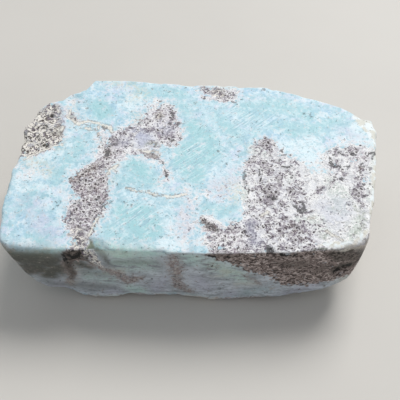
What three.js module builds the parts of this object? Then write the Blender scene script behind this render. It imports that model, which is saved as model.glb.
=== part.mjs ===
// A rough larimar chunk: one natural stone, sawn flat on top, ground flat in front and broken
// on its back, its ends and its underside. Millimetres, +Z up, +X along the stone, front at -Y.
// The origin is the middle of the stone's bounding box, at the level it rests on.
import * as THREE from 'three';

// Thickness from the rest plane to the sawn top.
const THICKNESS = 22;

// The outline of the sawn top as [x, y]: front and back run left to right, the ends front to back.
const FRONT_EDGE = [
  [-49.6, -27.1], [-47, -29.6], [-36, -30.4], [-20.4, -30.6], [-8.9, -31], [1.8, -31.5],
  [13.4, -31.3], [21, -31.2], [25.7, -30.7], [34.4, -30.3], [40.6, -28.6], [42.1, -26.2],
];
const BACK_EDGE = [
  [-47, 20.6], [-41.4, 22.2], [-38.4, 25.1], [-33.9, 27], [-31.6, 31.3], [-23.6, 31.3],
  [-14.9, 30.4], [-4.1, 29.2], [6.1, 29], [19.6, 28.1], [26.9, 25.8], [34.3, 22.6], [42.6, 18.8],
  [46.4, 14.9], [49.9, 14.2],
];
const LEFT_EDGE = [
  [-49.6, -27.1], [-50.8, -17], [-50.9, -9], [-50.3, -4.7], [-49.4, -0.5], [-49.4, 2.8], [-49.9, 6.6],
  [-49.5, 15.9], [-47, 20.6],
];
const RIGHT_EDGE = [[42.1, -26.2], [43.3, -20.7], [45.4, -15], [48.1, -2], [50.4, 9.7], [49.9, 14.2]];

// How far each side leans inwards from the top to the rest plane, and how late the lean begins.
const LEFT_LEAN = { by: 9, bend: 1.9 };
const RIGHT_LEAN = { by: 4.8, bend: 2.3 };
const BACK_LEAN = { by: 4, bend: 1.6 };
const FRONT_LEAN = { by: -1.5, bend: 1 };

// Radii of the worn edges, round the sawn top and round the underside.
const TOP_ROUNDING = 0.9;
const FOOT_ROUNDING = 1.7;

// How far below its surface the stone's core lies: relief is carved along straight ways to the core.
const CORE_DEPTH = 10;

// Facets along X, Y and Z, and how strongly they crowd towards the edges, in radians.
const FACETS_X = 46;
const FACETS_Y = 28;
const FACETS_Z = 13;
const CROWDING = 1.15;

// Flat breaks, each a point on the break and the way it faces.
const BREAKS = [
  { at: [-35.2, -30.5, 2.5], facing: [-0.40, -0.15, -0.90] }, // under the left front corner
  { at: [27, -30, 3.2], facing: [0.23, -0.15, -0.96] }, // under the right front corner
  { at: [-44.5, 10, 9], facing: [-0.86, 0.28, -0.42] }, // left end, towards the back
  { at: [-49, -14, 8], facing: [-0.90, -0.20, -0.38] }, // left end, towards the front
  { at: [-49.2, 0, 14], facing: [-0.95, 0.12, -0.28] }, // left end, in the middle
  { at: [-40, 22.5, 9], facing: [-0.62, 0.66, -0.42] }, // back left corner, low down
  { at: [44.2, -4, 9], facing: [0.86, -0.12, -0.50] }, // right end, low down
  { at: [48.4, 6, 13], facing: [0.90, 0.26, -0.34] }, // right end, towards the back
  { at: [41, 14, 10], facing: [0.60, 0.64, -0.48] }, // back right corner, low down
  { at: [-12, 28.3, 8], facing: [-0.16, 0.82, -0.55] }, // back, low down
  { at: [16, 26.6, 6], facing: [0.22, 0.86, -0.46] }, // back, low down, to the right
  { at: [-20, 29.5, 15], facing: [0.05, 0.90, -0.44] }, // back, towards the left
  { at: [31, 22, 14], facing: [0.50, 0.77, -0.40] }, // back, towards the right
  { at: [51.2, 3, 20.9], facing: [0.80, 0.05, 0.60] }, // worn rim of the right end
  { at: [-47.9, 15, 21.6], facing: [-0.50, 0.25, 0.83] }, // sunken top left corner
];

// Rounds of carving that settle a point on a break or in the notch, and the flattest slant carved at.
const CARVING_ROUNDS = 3;
const LEAST_SLANT = 0.35;

// Relief of the broken sides: scallops with sharp ridges between them, large and small. Close to
// the sawn top only a share of it is left, and it is full from some way down.
const SCALLOP_SPACING = 14;
const SCALLOP_DEPTH = 2.8;
const CHIP_SPACING = 6;
const CHIP_DEPTH = 1.2;
const RIM_SHARE = 0.1;
const FULL_RELIEF_BELOW = 6;

// The hollow under the back's ledge: its heights, how they swing, and how soft its edges are.
const LEDGE_HEIGHT = 15;
const LEDGE_FOOT = 6;
const LEDGE_DEPTH = 3.4;
const LEDGE_SWING = 9;
const LEDGE_EDGE = 2.5;
const LEDGE_FOOT_EDGE = 5;

// The underside is flat with shallow hollows, and smooth over a round patch that it rests on.
const HOLLOW_DEPTH = 2.4;
const HOLLOW_LEVEL = 0.45;
const DIMPLE_LEVEL = 0.5;
const REST_CENTRE = [-6, -4];
const REST_RADIUS = 13;
const REST_FADE = 7;

// The notch in the front edge, which runs down the front as a crease towards the right.
const NOTCH_FACE = -32.5;
const NOTCH_X = -27;
const NOTCH_DEPTH = 3.6;
const NOTCH_HALF_WIDTH = 1.5;
const NOTCH_FOOT = 12;
const NOTCH_DRIFT = 5;

// Round pits and chips: centre on the surface, radius and depth.
const PITS = [
  { at: [36, -30.2, 11.8], radius: 2.8, depth: 2.4 }, // pit low on the right of the front
  { at: [-35, -30.8, 1.5], radius: 6, depth: 1.3 }, // chips along the foot of the front
  { at: [-4, -31.5, 0], radius: 8, depth: 0.9 },
  { at: [-26.5, -31.5, 22.5], radius: 5, depth: 1.2 }, // worn hollow round the top of the notch
  { at: [17, -31.2, 22], radius: 1.6, depth: 0.8 }, // chips in the edges of the sawn top
  { at: [-38.5, 22.8, 21.5], radius: 3, depth: 0.6 },
  { at: [-9, 29, 13], radius: 3.4, depth: 2 }, // pits of the broken sides
  { at: [21, 26.5, 15], radius: 3, depth: 1.6 },
  { at: [-47, -10, 13], radius: 3.2, depth: 1.8 },
  { at: [45.5, -4, 14], radius: 3.4, depth: 1.9 },
];

/** A side's inward lean at a share from 0 at the top to 1 at the rest plane. */
const lean = ({ by, bend }, down) => by * down ** bend;

/** The point at a share from 0 to 1 of the way along a chain of points. */
function along(chain, share) {
  const points = chain.map(([x, y]) => new THREE.Vector2(x, y));
  const lengths = points.slice(1).map((point, i) => point.distanceTo(points[i]));
  let left = share * lengths.reduce((sum, length) => sum + length, 0);
  let i = 0;
  while (i < lengths.length - 1 && left > lengths[i]) {
    left -= lengths[i];
    i += 1;
  }
  return points[i].lerp(points[i + 1], left / lengths[i]);
}

/** A point of the sawn top, stretched between its four edges: s runs left to right, t front to back. */
function topPoint(s, t) {
  const plan = along(FRONT_EDGE, s).multiplyScalar(1 - t);
  plan.addScaledVector(along(BACK_EDGE, s), t);
  plan.addScaledVector(along(LEFT_EDGE, t), 1 - s);
  plan.addScaledVector(along(RIGHT_EDGE, t), s);
  plan.addScaledVector(along(FRONT_EDGE, 0), -(1 - s) * (1 - t));
  plan.addScaledVector(along(FRONT_EDGE, 1), -s * (1 - t));
  plan.addScaledVector(along(BACK_EDGE, 0), -(1 - s) * t);
  plan.addScaledVector(along(BACK_EDGE, 1), -s * t);
  return plan;
}

/** A fixed number from 0 to 1 for each corner of a lattice of whole numbers. */
function latticeValue(i, j, k) {
  let mixed = Math.imul(i, 374761393) ^ Math.imul(j, 668265263) ^ Math.imul(k, 974634777);
  mixed = Math.imul(mixed ^ (mixed >>> 13), 1274126177);
  return ((mixed ^ (mixed >>> 16)) >>> 0) / 4294967296;
}

/** Smooth noise from 0 to 1, with lumps about as far apart as the spacing. */
function noise(point, spacing) {
  const scaled = point.clone().divideScalar(spacing);
  const cell = scaled.clone().floor();
  const [u, v, w] = scaled.sub(cell).toArray().map((part) => part * part * (3 - 2 * part));
  const corner = (i, j, k) => latticeValue(cell.x + i, cell.y + j, cell.z + k);
  const row = (j, k) => THREE.MathUtils.lerp(corner(0, j, k), corner(1, j, k), u);
  const sheet = (k) => THREE.MathUtils.lerp(row(0, k), row(1, k), v);
  return THREE.MathUtils.lerp(sheet(0), sheet(1), w);
}

/** The straight way from the core out to a corner of the block, its worn edges rounded off. */
function wayOut(corner, half) {
  const crowd = (value) => Math.sin(value * CROWDING) / Math.sin(CROWDING);
  const surface = new THREE.Vector3(crowd(corner.x), crowd(corner.y), crowd(corner.z)).multiply(half);
  const core = half.clone().subScalar(CORE_DEPTH);
  const root = surface.clone().clamp(core.clone().negate(), core);
  const out = surface.clone().sub(root);
  const rounding = THREE.MathUtils.mapLinear(surface.z, -half.z, half.z, FOOT_ROUNDING, TOP_ROUNDING);
  const cornerCut = 1 - (1 - Math.SQRT1_2) * (rounding / CORE_DEPTH);
  const power = -Math.LN2 / Math.log(cornerCut);
  const shares = out.toArray().map((part) => Math.abs(part / CORE_DEPTH) ** power);
  const norm = shares.reduce((sum, share) => sum + share, 0) ** (1 / power);
  return { root, facing: out.clone().normalize(), reach: out.length() / norm };
}

/** Where a point of the block lies on the stone, once its plan and its leaning sides are formed. */
function formed(block, half) {
  const a = block.x / half.x;
  const b = block.y / half.y;
  const down = Math.max(0, 0.5 - block.z / (2 * half.z));
  const plan = topPoint((a + 1) / 2, (b + 1) / 2);
  plan.x += Math.max(0, -a) * lean(LEFT_LEAN, down) - Math.max(0, a) * lean(RIGHT_LEAN, down);
  plan.y += Math.max(0, -b) * lean(FRONT_LEAN, down) - Math.max(0, b) * lean(BACK_LEAN, down);
  return new THREE.Vector3(plan.x, plan.y, THICKNESS * (1 - down));
}

/** How far a point stands in front of the notch's inner wall. */
function proudOfNotch(point) {
  const down = THREE.MathUtils.clamp((THICKNESS - point.z) / (THICKNESS - NOTCH_FOOT), 0, 1);
  const across = (point.x - NOTCH_X - NOTCH_DRIFT * down * down) / NOTCH_HALF_WIDTH;
  return NOTCH_FACE + NOTCH_DEPTH * (1 - down) * Math.exp(-across * across) - point.y;
}

/** Depth of the round pits and chips at a point. */
function pitDepth(point) {
  return PITS.reduce((depth, pit) => {
    const share = point.distanceTo(new THREE.Vector3(...pit.at)) / pit.radius;
    return depth + pit.depth * Math.max(0, 1 - share * share);
  }, 0);
}

/** Scallops from 0 on their ridges to 1 at the bottom of the deepest. */
const scallops = (point, spacing) => Math.abs(2 * noise(point, spacing) - 1);

/** Depth of the scallops and the ledge at a point of the broken sides. */
function sideRelief(point, facing) {
  const below = THREE.MathUtils.smoothstep(THICKNESS - point.z, 0, FULL_RELIEF_BELOW);
  const share = THREE.MathUtils.lerp(RIM_SHARE, 1, below);
  const large = SCALLOP_DEPTH * scallops(point, SCALLOP_SPACING);
  const small = CHIP_DEPTH * scallops(point, CHIP_SPACING);
  const swing = noise(point, 2 * SCALLOP_SPACING);
  const height = point.z - LEDGE_SWING * (swing - 0.5);
  const hollow = THREE.MathUtils.smoothstep(LEDGE_HEIGHT - height, 0, LEDGE_EDGE)
    * THREE.MathUtils.smoothstep(height - LEDGE_FOOT, 0, LEDGE_FOOT_EDGE);
  const backward = Math.max(0, facing.y);
  const broken = facing.x * facing.x + backward * backward;
  return broken * share * (large + small) + backward * LEDGE_DEPTH * swing * hollow;
}

/** Depth of the hollows of the underside. */
function undersideHollow(point, facing) {
  const away = Math.hypot(point.x - REST_CENTRE[0], point.y - REST_CENTRE[1]);
  const outside = THREE.MathUtils.smoothstep(away, REST_RADIUS, REST_RADIUS + REST_FADE);
  const hollows = Math.max(0, noise(point, SCALLOP_SPACING) - HOLLOW_LEVEL);
  const dimples = Math.max(0, noise(point, CHIP_SPACING) - DIMPLE_LEVEL) / 2;
  return Math.max(0, -facing.z) * HOLLOW_DEPTH * outside * (hollows + dimples);
}

/** Where a point of the cube from -1 to 1 lies on the finished stone. */
function onStone(corner, half) {
  const { root, facing, reach } = wayOut(corner, half);
  let length = reach;
  const place = () => formed(root.clone().addScaledVector(facing, length), half);
  const carve = (proud, slant) => {
    length -= Math.max(0, proud) / Math.max(LEAST_SLANT, slant);
  };
  for (let round = 0; round < CARVING_ROUNDS; round += 1) {
    for (const cut of BREAKS) {
      const normal = new THREE.Vector3(...cut.facing).normalize();
      carve(place().sub(new THREE.Vector3(...cut.at)).dot(normal), normal.dot(facing));
    }
  }
  const point = place();
  length -= sideRelief(point, facing) + pitDepth(point) + undersideHollow(point, facing);
  for (let round = 0; round < CARVING_ROUNDS; round += 1) {
    carve(proudOfNotch(place()), -facing.y);
  }
  return place();
}

/** The stone as one closed surface, with its bounding box standing on the origin. */
function larimarGeometry() {
  const outline = [...FRONT_EDGE, ...BACK_EDGE, ...LEFT_EDGE, ...RIGHT_EDGE];
  const bounds = new THREE.Box2().setFromPoints(outline.map(([x, y]) => new THREE.Vector2(x, y)));
  const spread = bounds.getSize(new THREE.Vector2());
  const half = new THREE.Vector3(spread.x, spread.y, THICKNESS).divideScalar(2);
  const geometry = new THREE.BoxGeometry(2, 2, 2, FACETS_X, FACETS_Y, FACETS_Z);
  const places = geometry.attributes.position;
  for (let i = 0; i < places.count; i += 1) {
    const corner = new THREE.Vector3().fromBufferAttribute(places, i);
    places.setXYZ(i, ...onStone(corner, half).toArray());
  }
  geometry.computeBoundingBox();
  const middle = geometry.boundingBox.getCenter(new THREE.Vector3());
  geometry.translate(-middle.x, -middle.y, -geometry.boundingBox.min.z);
  geometry.computeVertexNormals();
  return geometry;
}

const larimar = new THREE.MeshStandardMaterial({
  color: 0xaed6df,
  roughness: 0.5,
  metalness: 0,
  flatShading: true,
});
const chunk = new THREE.Mesh(larimarGeometry(), larimar);
chunk.name = 'larimar_chunk';

const part = new THREE.Group();
part.add(chunk);

export default part;
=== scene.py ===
"""The looks of a rough larimar chunk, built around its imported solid.

The stone is one closed surface, worked out with numpy on the same block, breaks and relief as its
solid, with finer relief added. Its markings are fields that run through the stone: blots and veins
in millimetres, stored as attributes of the mesh, which the material sharpens with fine noise.
"""
import logging
import math
from dataclasses import dataclass
from enum import Enum
from typing import Any, Sequence

import bpy
import numpy as np
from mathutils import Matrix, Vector


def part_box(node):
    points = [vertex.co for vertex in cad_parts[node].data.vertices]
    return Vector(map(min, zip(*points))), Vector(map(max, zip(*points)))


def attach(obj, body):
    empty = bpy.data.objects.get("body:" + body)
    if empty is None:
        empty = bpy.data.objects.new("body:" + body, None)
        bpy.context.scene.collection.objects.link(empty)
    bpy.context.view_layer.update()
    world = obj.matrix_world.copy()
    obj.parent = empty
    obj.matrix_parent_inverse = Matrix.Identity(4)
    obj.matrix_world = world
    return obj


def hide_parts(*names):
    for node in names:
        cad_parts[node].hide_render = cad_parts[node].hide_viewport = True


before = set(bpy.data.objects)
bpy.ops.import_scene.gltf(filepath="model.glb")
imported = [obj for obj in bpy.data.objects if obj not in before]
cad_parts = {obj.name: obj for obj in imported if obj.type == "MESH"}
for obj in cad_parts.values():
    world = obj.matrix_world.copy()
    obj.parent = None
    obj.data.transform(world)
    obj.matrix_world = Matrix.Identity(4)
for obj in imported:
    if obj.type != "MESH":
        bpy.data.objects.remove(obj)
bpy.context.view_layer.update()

LOG = logging.getLogger("larimar")
MM = 0.001

FAR_OUTSIDE = -1e3
LEAST_LENGTH2 = 1e-9
AXIS_MIXERS = (374761393, 668265263, 974634777)
LAST_MIXER = 1274126177
LATTICE_RANGE = 4294967296.0
FULL_CHANNEL = 255.0
SRGB_KNEE = 0.04045
SRGB_SLOPE = 12.92
SRGB_OFFSET = 0.055
SRGB_POWER = 2.4

Triple = tuple[float, float, float]
Chain = tuple[Triple, ...]
Edge = tuple[tuple[float, float], ...]
Tint = tuple[float, float, float, float]


# ---------------------------------------------------------------- shapes of fields


def smoothstep(value: np.ndarray, low: float, high: float) -> np.ndarray:
    """Rises smoothly from 0 at low to 1 at high: 3 t^2 - 2 t^3 with t clamped to 0..1.

    Args:
        value: Numbers to map.
        low: Where the rise begins.
        high: Where the rise ends.

    Returns:
        An array of the same shape, from 0 to 1.
    """
    t = np.clip((value - low) / (high - low), 0.0, 1.0)
    return t * t * (3.0 - 2.0 * t)


def lattice(i: np.ndarray, j: np.ndarray, k: np.ndarray) -> np.ndarray:
    """A fixed number from 0 to 1 for each corner of a lattice of whole numbers.

    Args:
        i: Whole numbers along X.
        j: Whole numbers along Y.
        k: Whole numbers along Z.

    Returns:
        The numbers, mixed from the three by 32-bit multiplying and shifting.
    """
    i, j, k = (np.asarray(part, dtype=np.int64).astype(np.uint32) * np.uint32(mixer)
               for part, mixer in zip((i, j, k), AXIS_MIXERS))
    mixed = i ^ j ^ k
    mixed = (mixed ^ (mixed >> np.uint32(13))) * np.uint32(LAST_MIXER)
    return (mixed ^ (mixed >> np.uint32(16))) / LATTICE_RANGE


def noise(point: np.ndarray, spacing: float) -> np.ndarray:
    """Smooth noise from 0 to 1: lattice numbers blended across each cell with 3 t^2 - 2 t^3.

    Args:
        point: Places in mm, one row each.
        spacing: Size of a cell in mm.

    Returns:
        One number for each row.
    """
    scaled = point / spacing
    cell = np.floor(scaled)
    u, v, w = np.moveaxis((scaled - cell) ** 2 * (3.0 - 2.0 * (scaled - cell)), -1, 0)
    x, y, z = np.moveaxis(cell, -1, 0)

    def row(j: int, k: int) -> np.ndarray:
        """The blend along X at one edge of the cell."""
        return lattice(x, y + j, z + k) * (1.0 - u) + lattice(x + 1, y + j, z + k) * u

    def sheet(k: int) -> np.ndarray:
        """The blend along X and Y at one side of the cell."""
        return row(0, k) * (1.0 - v) + row(1, k) * v

    return sheet(0) * (1.0 - w) + sheet(1) * w


def scallops(point: np.ndarray, spacing: float) -> np.ndarray:
    """Hollows from 0 on their sharp ridges to 1 at their deepest: the size of 2 n - 1 for noise n.

    Args:
        point: Places in mm, one row each.
        spacing: Rough distance between hollows in mm.

    Returns:
        One number for each row.
    """
    return np.abs(2.0 * noise(point, spacing) - 1.0)


def blots(chains: Sequence[Chain], x: np.ndarray, y: np.ndarray) -> np.ndarray:
    """How far inside a set of blots each place is: radius less distance, at the nearest blot.

    Each chain is a row of (x, y, radius) in mm, joined by necks whose radius runs straight from one
    blot's to the next one's.

    Args:
        chains: The chains.
        x: Places across, in mm.
        y: Places along, in mm.

    Returns:
        Depth inside in mm, below 0 outside.
    """
    depth = np.full(x.shape, FAR_OUTSIDE)
    for chain in chains:
        links = list(zip(chain[:-1], chain[1:])) or [(chain[0], chain[0])]
        for (x0, y0, r0), (x1, y1, r1) in links:
            length2 = max((x1 - x0) ** 2 + (y1 - y0) ** 2, LEAST_LENGTH2)
            t = np.clip(((x - x0) * (x1 - x0) + (y - y0) * (y1 - y0)) / length2, 0.0, 1.0)
            away = np.hypot(x - x0 - t * (x1 - x0), y - y0 - t * (y1 - y0))
            depth = np.maximum(depth, r0 + t * (r1 - r0) - away)
    return depth


# ---------------------------------------------------------------- the stone's form


@dataclass(frozen=True)
class Lean:
    """How far a side leans inwards from the top down to the rest plane, and how late it begins."""

    by: float
    bend: float

    def at(self, down: np.ndarray) -> np.ndarray:
        """The lean in mm at a share from 0 at the top to 1 at the rest plane: by down^bend."""
        return self.by * down**self.bend


@dataclass(frozen=True)
class Break:
    """A flat break: a point on it in mm and the way it faces."""

    at: Triple
    facing: Triple


@dataclass(frozen=True)
class Pit:
    """A round pit: a centre on the surface, a radius and a depth, all in mm."""

    at: Triple
    radius: float
    depth: float


@dataclass(frozen=True)
class Form:
    """The main form, which the stone's solid has too. Sizes in mm."""

    thickness: float = 22.0
    front_edge: Edge = (
        (-49.6, -27.1), (-47, -29.6), (-36, -30.4), (-20.4, -30.6), (-8.9, -31.0), (1.8, -31.5),
        (13.4, -31.3), (21, -31.2), (25.7, -30.7), (34.4, -30.3), (40.6, -28.6), (42.1, -26.2),
    )
    back_edge: Edge = (
        (-47, 20.6), (-41.4, 22.2), (-38.4, 25.1), (-33.9, 27), (-31.6, 31.3), (-23.6, 31.3),
        (-14.9, 30.4), (-4.1, 29.2), (6.1, 29), (19.6, 28.1), (26.9, 25.8), (34.3, 22.6), (42.6, 18.8),
        (46.4, 14.9), (49.9, 14.2),
    )
    left_edge: Edge = (
        (-49.6, -27.1), (-50.8, -17), (-50.9, -9), (-50.3, -4.7), (-49.4, -0.5), (-49.4, 2.8), (-49.9, 6.6),
        (-49.5, 15.9), (-47, 20.6),
    )
    right_edge: Edge = ((42.1, -26.2), (43.3, -20.7), (45.4, -15), (48.1, -2), (50.4, 9.7), (49.9, 14.2))
    left_lean: Lean = Lean(9.0, 1.9)
    right_lean: Lean = Lean(4.8, 2.3)
    back_lean: Lean = Lean(4.0, 1.6)
    front_lean: Lean = Lean(-1.5, 1.0)
    top_rounding: float = 0.9
    foot_rounding: float = 1.7
    core_depth: float = 10.0
    breaks: tuple[Break, ...] = (
        Break((-35.2, -30.5, 2.5), (-0.40, -0.15, -0.90)),
        Break((27, -30, 3.2), (0.23, -0.15, -0.96)),
        Break((-44.5, 10, 9), (-0.86, 0.28, -0.42)),
        Break((-49, -14, 8), (-0.90, -0.20, -0.38)),
        Break((-49.2, 0, 14), (-0.95, 0.12, -0.28)),
        Break((-40, 22.5, 9), (-0.62, 0.66, -0.42)),
        Break((44.2, -4, 9), (0.86, -0.12, -0.50)),
        Break((48.4, 6, 13), (0.90, 0.26, -0.34)),
        Break((41, 14, 10), (0.60, 0.64, -0.48)),
        Break((-12, 28.3, 8), (-0.16, 0.82, -0.55)),
        Break((16, 26.6, 6), (0.22, 0.86, -0.46)),
        Break((-20, 29.5, 15), (0.05, 0.90, -0.44)),
        Break((31, 22, 14), (0.50, 0.77, -0.40)),
        Break((51.2, 3, 20.9), (0.80, 0.05, 0.60)),
        Break((-47.9, 15, 21.6), (-0.50, 0.25, 0.83)),
    )
    carving_rounds: int = 3
    least_slant: float = 0.35
    scallop_spacing: float = 14.0
    scallop_depth: float = 2.8
    chip_spacing: float = 6.0
    chip_depth: float = 1.2
    rim_share: float = 0.1
    full_relief_below: float = 6.0
    ledge_height: float = 15.0
    ledge_foot: float = 6.0
    ledge_depth: float = 3.4
    ledge_swing: float = 9.0
    ledge_edge: float = 2.5
    ledge_foot_edge: float = 5.0
    hollow_depth: float = 2.4
    hollow_level: float = 0.45
    dimple_level: float = 0.5
    rest_centre: tuple[float, float] = (-6.0, -4.0)
    rest_radius: float = 13.0
    rest_fade: float = 7.0
    notch_face: float = -32.5
    notch_x: float = -27.0
    notch_depth: float = 3.6
    notch_half_width: float = 1.5
    notch_foot: float = 12.0
    notch_drift: float = 5.0
    pits: tuple[Pit, ...] = (
        Pit((36, -30.2, 11.8), 2.8, 2.4),
        Pit((-35, -30.8, 1.5), 6.0, 1.3),
        Pit((-4, -31.5, 0), 8.0, 0.9),
        Pit((17, -31.2, 22), 1.6, 0.8),
        Pit((-26.5, -31.5, 22.5), 5.0, 1.2),
        Pit((-38.5, 22.8, 21.5), 3.0, 0.6),
        Pit((-9, 29, 13), 3.4, 2.0),
        Pit((21, 26.5, 15), 3.0, 1.6),
        Pit((-47, -10, 13), 3.2, 1.8),
        Pit((45.5, -4, 14), 3.4, 1.9),
    )

    def half(self) -> np.ndarray:
        """Half of the block's length, depth and thickness, from the outline's reach."""
        outline = np.array(self.front_edge + self.back_edge + self.left_edge + self.right_edge)
        return np.append(outline.max(0) - outline.min(0), self.thickness) / 2.0

    def plan(self, s: np.ndarray, t: np.ndarray) -> np.ndarray:
        """A place of the sawn top, stretched between its four edges.

        The front and back blend by t, the ends blend by s, and the blend of the four corners is
        taken away once, as in a Coons patch.

        Args:
            s: Share from the left end to the right.
            t: Share from the front to the back.

        Returns:
            X and Y in mm, one row each.
        """

        def along(chain: Edge, share: np.ndarray) -> np.ndarray:
            """The place at a share of a chain's length.

            Args:
                chain: Corners of the chain in mm.
                share: Shares from 0 to 1.

            Returns:
                X and Y in mm, one row each.
            """
            points = np.array(chain, dtype=float)
            run = np.append(0.0, np.cumsum(np.hypot(*np.diff(points, axis=0).T)))
            return np.stack([np.interp(share * run[-1], run, points[:, axis]) for axis in (0, 1)], -1)

        s1, t1 = s[:, None], t[:, None]
        ends = [np.array(point, dtype=float) for edge in (self.front_edge, self.back_edge)
                for point in (edge[0], edge[-1])]
        blend = along(self.front_edge, s) * (1 - t1) + along(self.back_edge, s) * t1
        blend += along(self.left_edge, t) * (1 - s1) + along(self.right_edge, t) * s1
        blend -= (1 - t1) * ((1 - s1) * ends[0] + s1 * ends[1])
        blend -= t1 * ((1 - s1) * ends[2] + s1 * ends[3])
        return blend

    def formed(self, block: np.ndarray) -> np.ndarray:
        """Where points of the block lie once its plan and its leaning sides are formed.

        Args:
            block: Points of the plain block in mm, one row each.

        Returns:
            Points of the stone in mm, one row each.
        """
        a, b, c = (block / self.half()).T
        down = np.maximum(0.0, 0.5 - c / 2.0)
        place = self.plan((a + 1) / 2, (b + 1) / 2)
        place[:, 0] += np.maximum(0, -a) * self.left_lean.at(down)
        place[:, 0] -= np.maximum(0, a) * self.right_lean.at(down)
        place[:, 1] += np.maximum(0, -b) * self.front_lean.at(down)
        place[:, 1] -= np.maximum(0, b) * self.back_lean.at(down)
        return np.column_stack([place, self.thickness * (1 - down)])

    def ways_out(self, surface: np.ndarray, rounding: np.ndarray) -> tuple[np.ndarray, ...]:
        """The straight ways from the core out to the block's surface, its worn edges rounded off.

        The reach is shortened by the p-norm of the way's three parts in core depths, with p chosen so
        that a square corner loses as much as a round of that radius takes from it.

        Args:
            surface: Points of the block's surface in mm, one row each.
            rounding: Radius of the worn edges at each point, in mm.

        Returns:
            The roots on the core, the directions and the reaches.
        """
        core = self.half() - self.core_depth
        root = np.clip(surface, -core, core)
        out = surface - root
        power = -math.log(2) / np.log(1 - (1 - math.sqrt(0.5)) * rounding / self.core_depth)
        norm = (np.abs(out / self.core_depth) ** power[:, None]).sum(1) ** (1 / power)
        length = np.linalg.norm(out, axis=1)
        return root, out / length[:, None], length / norm

    def side_relief(self, point: np.ndarray, facing: np.ndarray) -> np.ndarray:
        """Depth in mm of the scallops and the ledge on the broken sides.

        Args:
            point: Points of the stone in mm.
            facing: The way each one faces on the block.

        Returns:
            One depth in mm for each point.
        """
        below = smoothstep(self.thickness - point[:, 2], 0.0, self.full_relief_below)
        share = self.rim_share + (1 - self.rim_share) * below
        carved = self.scallop_depth * scallops(point, self.scallop_spacing)
        carved += self.chip_depth * scallops(point, self.chip_spacing)
        swing = noise(point, 2 * self.scallop_spacing)
        height = point[:, 2] - self.ledge_swing * (swing - 0.5)
        hollow = smoothstep(self.ledge_height - height, 0.0, self.ledge_edge)
        hollow *= smoothstep(height - self.ledge_foot, 0.0, self.ledge_foot_edge)
        backward = np.maximum(0.0, facing[:, 1])
        broken = facing[:, 0] ** 2 + backward**2
        return broken * share * carved + backward * self.ledge_depth * swing * hollow

    def pit_depth(self, point: np.ndarray) -> np.ndarray:
        """Depth of the round pits: depth (1 - (distance / radius)^2), summed over the pits.

        Args:
            point: Points of the stone in mm.

        Returns:
            One depth in mm for each point.
        """
        depth = np.zeros(len(point))
        for pit in self.pits:
            share = np.linalg.norm(point - np.array(pit.at), axis=1) / pit.radius
            depth += pit.depth * np.maximum(0.0, 1 - share**2)
        return depth

    def underside_hollow(self, point: np.ndarray, facing: np.ndarray) -> np.ndarray:
        """Depth of the hollows of the underside, none on the round patch that it rests on.

        Args:
            point: Points of the stone in mm.
            facing: The way each one faces on the block.

        Returns:
            One depth in mm for each point.
        """
        away = np.hypot(point[:, 0] - self.rest_centre[0], point[:, 1] - self.rest_centre[1])
        outside = smoothstep(away, self.rest_radius, self.rest_radius + self.rest_fade)
        hollows = np.maximum(0.0, noise(point, self.scallop_spacing) - self.hollow_level)
        dimples = np.maximum(0.0, noise(point, self.chip_spacing) - self.dimple_level) / 2
        return np.maximum(0.0, -facing[:, 2]) * self.hollow_depth * outside * (hollows + dimples)

    def proud_of_notch(self, point: np.ndarray) -> np.ndarray:
        """How far each point stands in front of the notch's inner wall.

        The wall lies deepest along a line that drifts to the right downwards, and rises beside it as
        exp(-(distance / half width)^2).

        Args:
            point: Points of the stone in mm.

        Returns:
            One distance in mm for each point.
        """
        down = np.clip((self.thickness - point[:, 2]) / (self.thickness - self.notch_foot), 0.0, 1.0)
        across = (point[:, 0] - self.notch_x - self.notch_drift * down**2) / self.notch_half_width
        return self.notch_face + self.notch_depth * (1 - down) * np.exp(-(across**2)) - point[:, 1]


@dataclass(frozen=True)
class Rim:
    """The sawn top's rim: crisp, but worn soft along stretches of the front and at the right end.

    Radii and places are in mm. A stretch is four places along X: where the wear begins, is full,
    starts to fade and has ended.
    """

    crisp: float = 0.4
    soft: float = 1.5
    right_soft: float = 1.2
    stretches: tuple[tuple[float, float, float, float], ...] = (
        (-60, -50, -36, -31), (-27, -24, -14, -4), (29, 44, 50, 53),
    )
    wear_reach: float = 10.0
    right_from: float = 36.0

    def softness(self, place: np.ndarray) -> np.ndarray:
        """How far the front rim is worn.

        Args:
            place: Places in mm, one row each.

        Returns:
            A share from 0 to 1 for each place.
        """
        wear_and_highlight = np.zeros(len(place))
        for begin, full, fade, end in self.stretches:
            wear_and_highlight += smoothstep(place[:, 0], begin, full) * (1 - smoothstep(place[:, 0], fade, end))
        return wear_and_highlight * smoothstep(-place[:, 1], 0.0, self.wear_reach)

    def rounding(self, surface: np.ndarray) -> np.ndarray:
        """Radius of the rim at each point of the block's surface.

        Args:
            surface: Points of the block's surface in mm, one row each.

        Returns:
            One radius in mm for each point.
        """
        right = smoothstep(surface[:, 0], self.right_from, self.right_from + self.wear_reach)
        extra = (self.soft - self.crisp) * self.softness(surface) + (self.right_soft - self.crisp) * right
        return self.crisp + extra


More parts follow.
